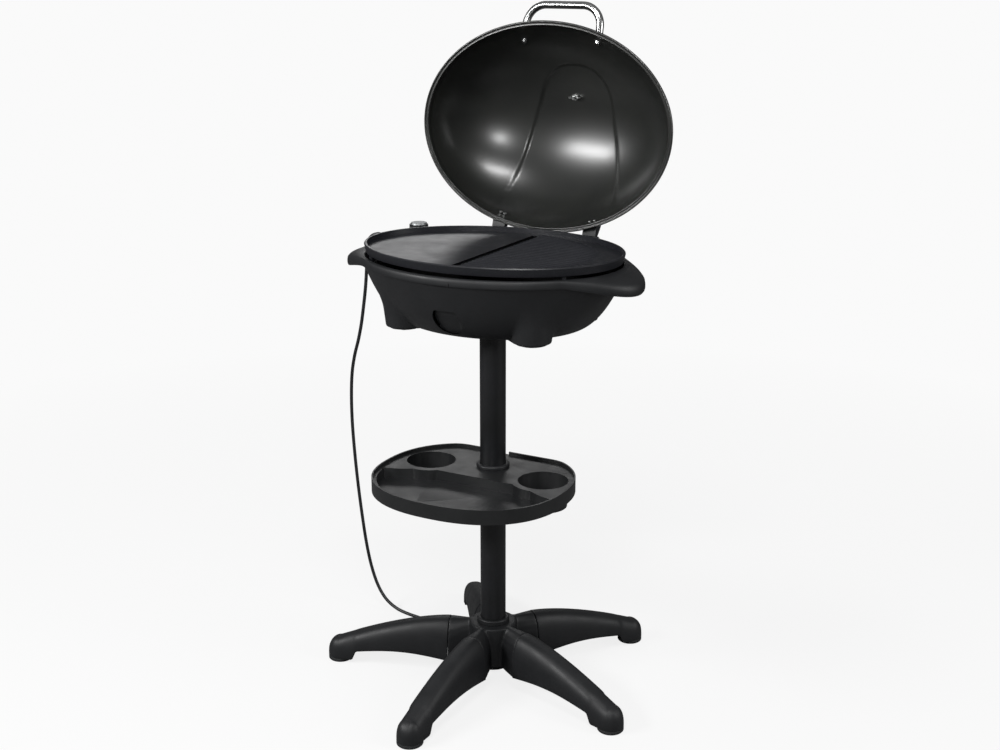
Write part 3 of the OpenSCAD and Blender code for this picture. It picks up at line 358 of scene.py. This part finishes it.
leg_master = surface_grid("leg_master", 40, 88, leg_point)
leg_shell = leg_master.modifiers.new("wall", "SOLIDIFY")
leg_shell.thickness, leg_shell.offset = leg_wall, -1
bpy.ops.object.modifier_apply(modifier=leg_shell.name)
leg_edges = leg_master.modifiers.new("eased_edges", "BEVEL")
leg_edges.width, leg_edges.segments = 0.0009, 2
leg_edges.limit_method, leg_edges.angle_limit = "ANGLE", radians(50)
bpy.ops.object.modifier_apply(modifier=leg_edges.name)
bpy.ops.object.shade_smooth_by_angle(angle=radians(40))
leg_master.data.materials.append(plastic)
for k in range(1, 6):
    leg = bpy.data.objects.new(f"leg_moulding_{k}", leg_master.data.copy())
    bpy.context.scene.collection.objects.link(leg)
    leg.data.transform(Matrix.Rotation(radians(-90 + 72 * (k - 1)), 4, "Z"))
    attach(leg, "stand")
    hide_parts(f"leg_{k}")
bpy.data.objects.remove(leg_master)


# Hub: one moulding with a socket for the pole and five stub arms, melted into each
# other with soft corners. The legs' tenons sit in it and a screw from below holds each.
hub = dressed("hub", "hub_moulding", plastic, edge=0, flats=0)
hub_voxels = hub.modifiers.new("moulded", "REMESH")
hub_voxels.mode, hub_voxels.voxel_size = "VOXEL", 0.0018
bpy.ops.object.modifier_apply(modifier=hub_voxels.name)
hub_soft = hub.modifiers.new("softened", "SMOOTH")
hub_soft.factor, hub_soft.iterations = 0.5, 18
bpy.ops.object.modifier_apply(modifier=hub_soft.name)
bpy.ops.object.shade_smooth_by_angle(angle=radians(50))

# Zinc-plated screws under the hub: pressed heads, plain bright metal
zinc, surface, place = blank("zinc_plate")
feed(zinc, surface, "Base Color",
     mottled(zinc, place, 0.005, linear("#a8a9a8"), linear("#c2c3c2")))
feed(zinc, surface, "Roughness",
     mottled(zinc, place, 0.003, grey(0.28), grey(0.42)))
surface.inputs["Metallic"].default_value = 1.0
dressed("leg_screws", "leg_screw_set", zinc, 0.0004)


# Pole: two steel tubes with a satin black powder coat, joined by a sleeve inside the
# tray's hub. A plastic collar trims each place where a tube enters a moulding.
powder, surface, place = blank("powder_coat")
feed(powder, surface, "Base Color",
     mottled(powder, place, 0.04, linear("#101112"), linear("#16171a")))
feed(powder, surface, "Normal", grained(powder, place, 0.0018, 0.18, 0.00015))
surface.inputs["Roughness"].default_value = 0.42
surface.inputs["IOR"].default_value = 1.48
for node, name in (("lower_tube", "pole_lower"), ("upper_tube", "pole_upper")):
    tube = dressed(node, name, powder, 0.0003)
dressed("tube_sleeve", "pole_sleeve", zinc, 0.0003)
for node, name in (("hub_collar", "collar_hub"), ("tray_collar", "collar_tray")):
    dressed(node, name, plastic, 0.0008)


# Tray: one injection moulding with a rim, two cup holders, a sunk well and a slot to
# hang tongs or a cloth from.
gloss_plastic, surface, place = blank("satin_plastic")
feed(gloss_plastic, surface, "Base Color",
     mottled(gloss_plastic, place, 0.06, linear("#131415"), linear("#18191a")))
fine = grained(gloss_plastic, place, 0.0008, 0.35, 0.0001)
feed(gloss_plastic, surface, "Normal", grained(gloss_plastic, place, 0.03, 0.05, 0.001, fine))
feed(gloss_plastic, surface, "Roughness",
     mottled(gloss_plastic, place, 0.04, grey(0.4), grey(0.5)))
surface.inputs["IOR"].default_value = 1.5
dressed("tray", "shelf_tray", gloss_plastic, 0.0011, 40)


# Head: the bowl moulding with its side handles and table feet, the socket that takes
# the pole, and the drawer that catches the fat.
head_long, head_wide, head_top, bowl_deep, bowl_floor = 0.262, 0.2045, 0.852, 0.124, 0.6
bowl_low, band_low, bowl_wall = head_top - bowl_deep, head_top - 0.014, 0.003
foot_x, foot_y, foot_wide, foot_low, foot_round = 0.133, 0.098, 0.036, 0.724, 0.008
foot_flare, foot_step, foot_blend = 0.12, 0.007, 0.012
foot_reach, foot_turn = hypot(foot_x, foot_y), atan2(foot_y, foot_x)
ear_reach, ear_droop, ear_middle, ear_arc = 0.043, 0.019, -4, 36
drawer_z, drawer_face, drawer_sunk = 0.766, -0.155, 0.004
bowl_columns, bowl_swell = 384, 0.46


def bowl_share(z):
    """The wall's share of the head's oval at a height."""
    return bowl_floor + (1 - bowl_floor) * (max(z - bowl_low, 0) / bowl_deep) ** bowl_swell


def ear(turn):
    """1 in the middle of a side handle, 0 outside it."""
    s = degrees(turn) % 360
    right = abs((s if s < 180 else s - 360) - ear_middle)
    left = abs(s - 180 + ear_middle)
    d = min(right, left) / ear_arc
    return cos(pi / 2 * d) ** 1.5 if d < 1 else 0.0


def bowl_reach(turn, z):
    """How far the wall stands out from the middle, with its four table feet."""
    x, y = head_long * cos(turn), head_wide * sin(turn)
    wall = bowl_share(z) * hypot(x, y)
    off = atan2(abs(y), abs(x)) - foot_turn
    low = max(foot_round - (z - foot_low), 0)
    round_r = foot_wide - foot_round + sqrt(max(foot_round ** 2 - low ** 2, 0))
    round_r += foot_flare * max(z - foot_low - foot_round, 0)
    aside = abs(foot_reach * sin(off))
    if aside < round_r:
        foot = foot_reach * cos(off) + sqrt(round_r ** 2 - aside ** 2)
    else:
        foot = foot_reach * cos(off) - 5 * (aside - round_r)
    h = min(max(0.5 + 0.5 * (foot - wall) / foot_blend, 0), 1)
    return wall * (1 - h) + foot * h + foot_blend * h * (1 - h)


def bowl_way(turn):
    """The level direction from the middle to a place on the oval."""
    way = Vector((head_long * cos(turn), head_wide * sin(turn), 0))
    return way / way.length


def floor_level(place):
    """The floor of the bowl, lower inside the feet."""
    gap = hypot(abs(place.x) - foot_x, abs(place.y) - foot_y)
    return bowl_low - (bowl_low - foot_low) * ease((foot_wide - 0.002 - gap) / foot_step)


# Rings of the band: share of the head's oval, height, step out, and how much of a side
# handle's reach and droop the ring takes
band_rings = [
    (bowl_share(band_low), band_low - 0.001, 0, 0, 0.4),
    (bowl_share(band_low), band_low - 0.0012, 0.0010, 0.3, 0.65),
    (bowl_share(band_low), band_low - 0.001, 0.002, 0.55, 0.9),
    (0.998, band_low - 0.0006, 0, 0.80, 1.15), (1, band_low, 0, 0.94, 1.25),
    (1, band_low + 0.002, 0.0004, 0.98, 1.22), (1, band_low + 0.004, 0.0005, 1, 1.15),
    (1, band_low + 0.0075, 0.0004, 1, 1.03), (1, head_top - 0.003, 0, 0.98, 0.9),
    (1, head_top - 0.0012, -0.001, 0.91, 0.76), (1, head_top - 0.0003, -0.002, 0.84, 0.64),
    (1, head_top, -0.003, 0.76, 0.53), (1, head_top, -0.005, 0.52, 0.28),
    (1, head_top, -0.007, 0.3, 0.1), (1, head_top, -0.0085, 0.05, 0.02),
    (1, head_top - 0.0005, -0.009, 0, 0),
]
bowl_rows = [("floor", f) for f in (0, 0.3, 0.5, 0.65, 0.75, 0.82, 0.88, 0.93, 0.97, 1)]
bowl_rows += [("wall", k / 36) for k in range(1, 37)]
bowl_rows += [("band", ring) for ring in band_rings]
bowl_rows += [("hollow", k / 14) for k in range(14, -1, -1)] + [("inside", 0.5), ("inside", 0)]


def bowl_point(u, w):
    """u goes round the bowl, w from under its floor up to the rim and down inside."""
    turn = 2 * pi * u
    kind, value = bowl_rows[round(w * (len(bowl_rows) - 1))]
    way = bowl_way(turn)
    if kind in ("floor", "wall"):
        base = way * (bowl_reach(turn, bowl_low - 0.001) - 0.001)
        level = floor_level(base)
        if kind == "floor":
            place = base * value
            return Vector((place.x, place.y, floor_level(place)))
        z = level + (band_low - 0.001 - ear_droop * 0.4 * ear(turn) - level) * value ** 2
        place = way * bowl_reach(turn, z)
        return Vector((place.x, place.y, z))
    if kind == "band":
        share, z, step, reach, droop = value
        lobe = ear_reach * reach * ear(turn)
        return Vector((
            (head_long * share + step + lobe) * cos(turn),
            (head_wide * share + step + lobe * 0.25) * sin(turn),
            z - ear_droop * droop * ear(turn),
        ))
    z = bowl_low + bowl_wall + (band_low - bowl_low) * (value ** 2 if kind == "hollow" else 0)
    if kind == "inside":
        return way * (bowl_share(bowl_low) * hypot(head_long * cos(turn), head_wide * sin(turn))
                      - 0.006) * value + Vector((0, 0, z))
    inner = bowl_share(z - bowl_wall if value == 0 else z)
    inset = 0.009 if value == 1 else bowl_wall
    return Vector((
        (head_long * inner - inset) * cos(turn), (head_wide * inner - inset) * sin(turn), z,
    ))


def cut(piece, tool, kind="DIFFERENCE"):
    """Take a tool solid away from a piece, or join it on."""
    alone(piece)
    step = piece.modifiers.new("cut", "BOOLEAN")
    step.operation, step.solver, step.object = kind, "EXACT", tool
    bpy.ops.object.modifier_apply(modifier=step.name)
    bpy.data.objects.remove(tool)


def block(low, high):
    """A plain box between two corners."""
    bpy.ops.object.select_all(action="DESELECT")
    bpy.ops.mesh.primitive_cube_add(size=1)
    piece = bpy.context.object
    for v in piece.data.vertices:
        v.co = Vector(a + (b - a) * (c + 0.5) for a, b, c in zip(low, high, v.co))
    return piece


def drawer_tunnel(r, flat, front, back):
    """A long round solid with a flat top, laid front to back where the drawer sits."""
    bpy.ops.object.select_all(action="DESELECT")
    bpy.ops.mesh.primitive_cylinder_add(vertices=96, radius=r, depth=back - front)
    piece = bpy.context.object
    piece.data.transform(
        Matrix.Translation((0, (front + back) / 2, drawer_z)) @ Matrix.Rotation(pi / 2, 4, "X")
    )
    cut(piece, block((-0.1, front - 0.01, drawer_z + flat), (0.1, back + 0.01, 0.9)))
    return piece


bowl = surface_grid("head_bowl", bowl_columns, len(bowl_rows) - 1, bowl_point)
cut(bowl, drawer_tunnel(0.031, 0.022, -0.125, -0.077), "UNION")
cut(bowl, drawer_tunnel(0.029, 0.020, -0.220, -0.079))
thermostat_gap = block((-0.290, 0.115, 0.8295), (-0.145, 0.161, 0.8535))
upright_mark = block((0.0234, -0.220, 0.8335), (0.0248, -0.1975, 0.8435))
level_mark = block((-0.0100, -0.220, 0.8346), (0.0236, -0.1982, 0.8356))
for tool in (thermostat_gap, upright_mark, level_mark):
    cut(bowl, tool)
alone(bowl)
bpy.ops.object.shade_smooth_by_angle(angle=radians(38))
bowl.data.materials.append(plastic)
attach(bowl, "stand")
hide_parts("bowl")
dressed("pole_socket", "head_socket", plastic, 0.0008)
dressed("socket_screws", "socket_screw_set", zinc, 0.0004)
fat_drawer = dressed("grease_drawer", "fat_drawer", plastic, 0.0008)
for v in fat_drawer.data.vertices:
    if v.co.y < drawer_face:
        v.co.y += drawer_sunk

# Rolled aluminium sheet of the rod's terminal box: pale and satin
sheet, surface, place = blank("rolled_aluminium")
feed(sheet, surface, "Base Color",
     mottled(sheet, place, 0.05, linear("#b4b6b8"), linear("#c6c8ca")))
feed(sheet, surface, "Roughness",
     mottled(sheet, place, 0.02, grey(0.3), grey(0.4)))
surface.inputs["Metallic"].default_value = 1.0
dressed("terminal_box", "rod_terminals", sheet, 0.0004)

# Steel-sheathed heating rod and its clips, browned by heat
rod_steel, surface, place = blank("browned_steel")
feed(rod_steel, surface, "Base Color",
     mottled(rod_steel, place, 0.02, linear("#211e1c"), linear("#2e2a27")))
surface.inputs["Metallic"].default_value = 1.0
surface.inputs["Roughness"].default_value = 0.45
dressed("heating_rod", "heater_rod", rod_steel, 0)
dressed("rod_clips", "rod_clip_set", rod_steel, 0.0003)

# Reflector pan: coloured near black with almost no shine, as painted shade, so that the gap round
# the plate stays dark
pan_painted_shade, surface, place = blank("pan_painted_shade")
feed(pan_painted_shade, surface, "Base Color",
     mottled(pan_painted_shade, place, 0.03, linear("#0a0a0a"), linear("#101010")))
surface.inputs["Roughness"].default_value = 0.8
surface.inputs["Specular IOR Level"].default_value = 0.12
dressed("reflector", "heat_pan", pan_painted_shade, 0.0003)


# Grill plate: cast aluminium with a dark non-stick coat, smooth on the left, with a
# groove down the middle and ribs on the right that fade out towards the rim. The coat
# holds fine mineral flecks. The groove is painted near black with almost no shine: painted shade
# for its deep, narrow hollow.
groove_left, groove_right, groove_deep, groove_end = -0.0035, 0.0134, 0.0027, 0.166
groove_middle, groove_half, groove_reach = 0.005, 0.0086, 0.167
cook_z, well_long, well_wide = 0.863, 0.2502, 0.1866
rib_start, rib_long, rib_wide, rib_sheet = 0.0136, 0.232, 0.179, 0.0012
rib_pitch, rib_high, rib_sunk, rib_fade = 0.0132, 0.0042, 0.0004, 0.07

coat, surface, place = blank("non_stick_coat")
fleck = add(coat, "ShaderNodeTexNoise", {"Vector": place, "Scale": 900.0, "Detail": 1.0})
fleck_ramp = add(coat, "ShaderNodeValToRGB", {"Fac": fleck.outputs["Fac"]})
first, last = fleck_ramp.color_ramp.elements
first.position, last.position = 0.52, 0.78
first.color, last.color = linear("#15161a"), linear("#2e2f34")
spot = add(coat, "ShaderNodeSeparateXYZ", {"Vector": place})
# Painted shade: a mask over the groove, where the coat is coloured near black and loses most of
# its shine to stand for the shade in the deep groove.
over = add(coat, "ShaderNodeMath",
           {0: spot.outputs["X"], 1: groove_middle, 2: groove_half},
           operation="COMPARE").outputs[0]
within = add(coat, "ShaderNodeMath", {0: spot.outputs["Y"], 1: 0.0, 2: groove_reach},
             operation="COMPARE").outputs[0]
groove_shade_mask = add(coat, "ShaderNodeMath", {0: over, 1: within}, operation="MULTIPLY").outputs[0]
groove_shade_colour = add(coat, "ShaderNodeMix", {0: groove_shade_mask, 6: fleck_ramp.outputs["Color"],
                                     7: linear("#060607")}, data_type="RGBA")
feed(coat, surface, "Base Color", groove_shade_colour.outputs[2])
groove_shade_shine = add(coat, "ShaderNodeMapRange", {0: groove_shade_mask, 3: 0.5, 4: 0.04}).outputs[0]
feed(coat, surface, "Specular IOR Level", groove_shade_shine)
feed(coat, surface, "Normal", grained(coat, place, 0.0010, 0.35, 0.0001))
feed(coat, surface, "Roughness",
     mottled(coat, place, 0.03, grey(0.36), grey(0.44)))
surface.inputs["IOR"].default_value = 1.45

casting = dressed("grill_plate", "grill_casting", coat, 0.0007, 28)
bpy.ops.object.select_all(action="DESELECT")
bpy.ops.mesh.primitive_cylinder_add(vertices=160, radius=1, depth=0.012)
plate_well = bpy.context.object
plate_well.data.transform(
    Matrix.Translation((0, 0, cook_z + 0.0059)) @ Matrix.Diagonal((well_long, well_wide, 1, 1))
)
cut(casting, plate_well)
cut(casting, block((groove_left, -groove_end, cook_z - groove_deep),
                   (groove_right, groove_end, cook_z + 0.001)))


def rib_point(u, w):
    """u goes along the ribs from the groove to the rim, w over them from front to back."""
    y = rib_wide * (2 * w - 1)
    far_x = rib_long * sqrt(max(1 - (y / rib_wide) ** 2, 0))
    x = rib_start + max(far_x - rib_start, 0) * u
    in_field = ease((far_x - x) / rib_fade) * ease((x - rib_start) / 0.004)
    swell = 0.5 + 0.5 * cos(2 * pi * y / rib_pitch)
    return Vector((x, y, cook_z - rib_sunk + rib_high * swell ** 1.2 * in_field))


ribs = surface_grid("grill_ribs", 56, 400, rib_point)
rib_body = ribs.modifiers.new("body", "SOLIDIFY")
rib_body.thickness, rib_body.offset = rib_sheet, -1
alone(ribs)
bpy.ops.object.modifier_apply(modifier=rib_body.name)
bpy.ops.object.shade_smooth_by_angle(angle=radians(60))
ribs.data.materials.append(coat)
alone(casting)
ribs.select_set(True)
bpy.ops.object.join()


# Thermostat: a plug-in housing with two prongs, and a ribbed knob with a satin metal cap.
dressed("thermostat_case", "thermostat_housing", plastic, 0.0009)
dressed("thermostat_pins", "thermostat_prongs", nickel, 0.0004)
dressed("knob", "knob_skirt", plastic, 0.0004, 30)
spun, surface, place = blank("spun_aluminium")
feed(spun, surface, "Base Color",
     mottled(spun, place, 0.006, linear("#8d8f90"), linear("#9c9e9f")))
surface.inputs["Metallic"].default_value = 1.0
surface.inputs["Roughness"].default_value = 0.5
dressed("knob_cap", "knob_disc", spun, 0.0006)


# Lid: a deep-drawn steel dome, enamelled glossy dark grey inside and out, with a
# tongue embossed from the crown towards the hinge and a rolled rim.
enamel, surface, place = blank("dark_enamel")
feed(enamel, surface, "Base Color",
     mottled(enamel, place, 0.08, linear("#1d1e1d"), linear("#232422")))
feed(enamel, surface, "Normal", grained(enamel, place, 0.003, 0.06, 0.0002))
surface.inputs["Roughness"].default_value = 0.3
surface.inputs["IOR"].default_value = 1.5
surface.inputs["Coat Weight"].default_value = 0.3
surface.inputs["Coat Roughness"].default_value = 0.2
dome_long, dome_wide, dome_high = 0.2627, 0.197, 0.148
rim_z, sheet_t = 0.855, 0.0015
tongue_high, tongue_step = 0.003, 0.006
tongue_half, tongue_neck, tongue_head, tongue_lean = 0.089, 0.044, 0.072, 0.006
hinge_line, lid_turn = Vector((0, 0.206, 0.862)), radians(-91.5)
lid_opened = (Matrix.Translation(hinge_line) @ Matrix.Rotation(lid_turn, 4, "X")
              @ Matrix.Translation(-hinge_line))
# The rolled rim: steps out from the dome's oval and up from its edge, in millimetres
rim_profile = [
    (0.35, 2.9), (0.9, 2.5), (4.0, 2.5), (5.2, 2.0), (5.85, 1.0), (6.0, 0.0), (5.7, -1.3),
    (5.0, -2.1), (4.2, -2.45), (3.4, -2.5), (2.7, -2.2), (2.2, -1.5), (1.9, -0.6), (1.4, -0.3),
    (0.6, -0.3), (-0.6, -0.3), (-1.8, -0.35), (-2.6, -0.5), (-3.1, 0.1), (-3.4, 1.2),
    (-3.45, 3.0), (-3.45, 5.5), (-3.4, 7.8), (-3.1, 9.0), (-2.5, 9.7),
]
wall_turns = [90 - 0.7 * k for k in range(86)] + [29.1 - 1.4 * k for k in range(18)]
dome_rows = [("wall", 0, q) for q in wall_turns + [3.2, 1.6]]
dome_rows += [("rim", out / 1000, up / 1000) for out, up in rim_profile]
dome_rows += [("wall", sheet_t + 0.0007 * (1 - ease((q - 5) / 9)), q) for q in wall_turns[::-1]]


def tongue(x, y):
    """How far the embossed tongue lifts the sheet at a place."""
    lean = tongue_lean * ease((-y + 0.02) / 0.10)
    half = tongue_half + y * (0.22 if y > 0 else 0.14) - lean
    ahead, aside = max(-y - tongue_neck, 0) / tongue_head, abs(x - lean) / half
    share = (ahead ** 2.4 + aside ** 2.4) ** (1 / 2.4)
    return tongue_high * ease((1 - share) * half / tongue_step + 0.5)


def dome_point(u, w):
    """u goes round the lid, w from the crown outside over the rim to the crown inside."""
    kind, first, second = dome_rows[round(w * (len(dome_rows) - 1))]
    turn = 2 * pi * u
    if kind == "rim":
        place = Vector(((dome_long + first) * cos(turn), (dome_wide + first) * sin(turn),
                        rim_z + second))
    else:
        q = radians(second)
        x = (dome_long - first) * cos(q) * cos(turn)
        y = (dome_wide - first) * cos(q) * sin(turn)
        place = Vector((x, y, rim_z + (dome_high - first) * sin(q)
                        + tongue(x, y) * ease(second / 25)))
    return lid_opened @ place


dome = surface_grid("lid_dome", 256, len(dome_rows) - 1, dome_point)
bpy.ops.object.shade_smooth()
dome.data.materials.append(enamel)
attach(dome, "lid")
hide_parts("dome")

# Handle: a bent steel tube, polished and chromed, on two screws through the dome. The
# vent's plastic shutter and its wing screw sit on the dome too.
chrome, surface, place = blank("chrome_plate")
feed(chrome, surface, "Base Color",
     mottled(chrome, place, 0.02, linear("#b4b5b5"), linear("#c0c1c1")))
surface.inputs["Metallic"].default_value = 1.0
surface.inputs["Roughness"].default_value = 0.22
grip_rise, grip_half, grip_bend, grip_run, grip_r = radians(11), 0.080, 0.040, 0.02927, 0.0075
grip_y = -0.163
grip_root = Vector((0, grip_y, rim_z + dome_high * sqrt(
    1 - (grip_half / dome_long) ** 2 - (grip_y / dome_wide) ** 2)))
grip_out = Vector((0, -cos(grip_rise), sin(grip_rise)))
turns = [radians(6 * k) for k in range(16)]
grip_path = [(grip_half, 0.004 * k) for k in range(-1, 7)]
grip_path += [(grip_half - grip_bend * (1 - cos(a)), grip_run + grip_bend * sin(a)) for a in turns]
grip_path += [(-x, run) for x, run in reversed(grip_path)]
grip_line = [
    lid_opened @ (grip_root + Vector((x, 0, 0)) + grip_out * run) for x, run in grip_path
]
lid_grip = round_bar("lid_grip", grip_line, grip_r, 8)
bpy.ops.object.shade_smooth_by_angle(angle=radians(40))
lid_grip.data.materials.append(chrome)
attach(lid_grip, "lid")
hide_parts("lid_handle")
dressed("handle_screws", "grip_screw_set", zinc, 0.0004)
dressed("vent_shutter", "vent_disc", plastic, 0.0006)
dressed("vent_screw", "vent_wing_screw", zinc, 0.0004)

# Hinges: a pressed leaf on the dome, a base on the rim and a steel pin through both.
dressed("hinge_leaves", "hinge_leaf_pair", plastic, 0.0005)
dressed("hinge_bases", "hinge_base_pair", plastic, 0.0008)
dressed("hinge_pins", "hinge_pin_pair", zinc, 0.0004)
dressed("hinge_screws", "hinge_screw_set", zinc, 0.0004)


# Studio: a pale paper floor that melts into a world of the same tone, and five soft
# lamps. None of it is part of the grill. The camera sees both paler than the grill does.
bpy.ops.object.select_all(action="DESELECT")
bpy.ops.mesh.primitive_plane_add(size=14)
floor = bpy.context.object
floor.name = "studio_floor"
floor.data.transform(Matrix.Rotation(view_turn, 4, "Z"))
pale, surface, place = blank("pale_paper")
surface.inputs["Roughness"].default_value = 0.9
surface.inputs["Specular IOR Level"].default_value = 0.0
glow = add(pale, "ShaderNodeEmission", {"Color": (1, 1, 1, 1), "Strength": 0.955})
seen = add(pale, "ShaderNodeLightPath").outputs["Is Camera Ray"]
tone = add(pale, "ShaderNodeMix", {0: seen, 6: linear("#7c7c7c"), 7: linear("#f0f0f0")},
           data_type="RGBA").outputs[2]
feed(pale, surface, "Base Color", tone)
# The floor's own tone fades into the world's between half a metre and 2.6 metres out
far = add(pale, "ShaderNodeVectorMath", {0: place}, operation="LENGTH").outputs["Value"]
plain = add(pale, "ShaderNodeMapRange", {0: far, 1: 0.5, 2: 2.6, 3: 0.86, 4: 1.0}).outputs[0]
share = add(pale, "ShaderNodeMath", {0: seen, 1: plain}, operation="MULTIPLY").outputs[0]
paper = add(pale, "ShaderNodeMixShader", {0: share, 1: surface.outputs[0], 2: glow.outputs[0]})
pale.node_tree.links.new(paper.outputs[0], pale.node_tree.nodes["Material Output"].inputs[0])
floor.data.materials.append(pale)

world = bpy.context.scene.world or bpy.data.worlds.new("studio_air")
bpy.context.scene.world = world
world.use_nodes = True
air = world.node_tree.nodes["Background"]
way = add(world, "ShaderNodeTexCoord").outputs["Generated"]
height = add(world, "ShaderNodeSeparateXYZ", {"Vector": way}).outputs["Z"]
sky = add(world, "ShaderNodeMapRange", {0: height, 1: 0.0, 2: 0.9, 3: 0.05, 4: 0.22}).outputs[0]
seen = add(world, "ShaderNodeLightPath").outputs["Is Camera Ray"]
level = add(world, "ShaderNodeMix", {0: seen, 2: sky, 3: 0.955}, data_type="FLOAT").outputs[0]
world.node_tree.links.new(level, air.inputs["Strength"])
air.inputs["Color"].default_value = (1, 1, 1, 1)


def lamp(name, place, target, size, power_w):
    """A soft square lamp that looks at a point. The camera doesn't see it."""
    bpy.ops.object.light_add(type="AREA", location=place)
    light = bpy.context.object
    light.name = name
    light.data.shape = "RECTANGLE"
    light.data.size, light.data.size_y = size
    light.data.energy = power_w
    light.visible_camera = False
    light.rotation_euler = (Vector(target) - Vector(place)).to_track_quat("-Z", "Y").to_euler()


lamp("key_lamp", (-1.655, -1.987, 1.851), (0, 0.2, 1.0), (1.25, 0.42), 62)
lamp("front_lamp", (0.753, -2.439, 1.788), (0, 0.2, 1.0), (0.36, 0.36), 20)
lamp("high_lamp", (0.62, -1.39, 3.27), (0, 0.2, 0.9), (1.0, 0.35), 40)
lamp("back_lamp", (-1.62, 2.46, 1.72), (0, 0, 0.86), (1.3, 0.5), 7)
lamp("side_lamp", (2.6, 0.3, 1.6), (0, 0, 0.6), (0.8, 1.4), 26)

bpy.context.scene.view_settings.view_transform = "Standard"
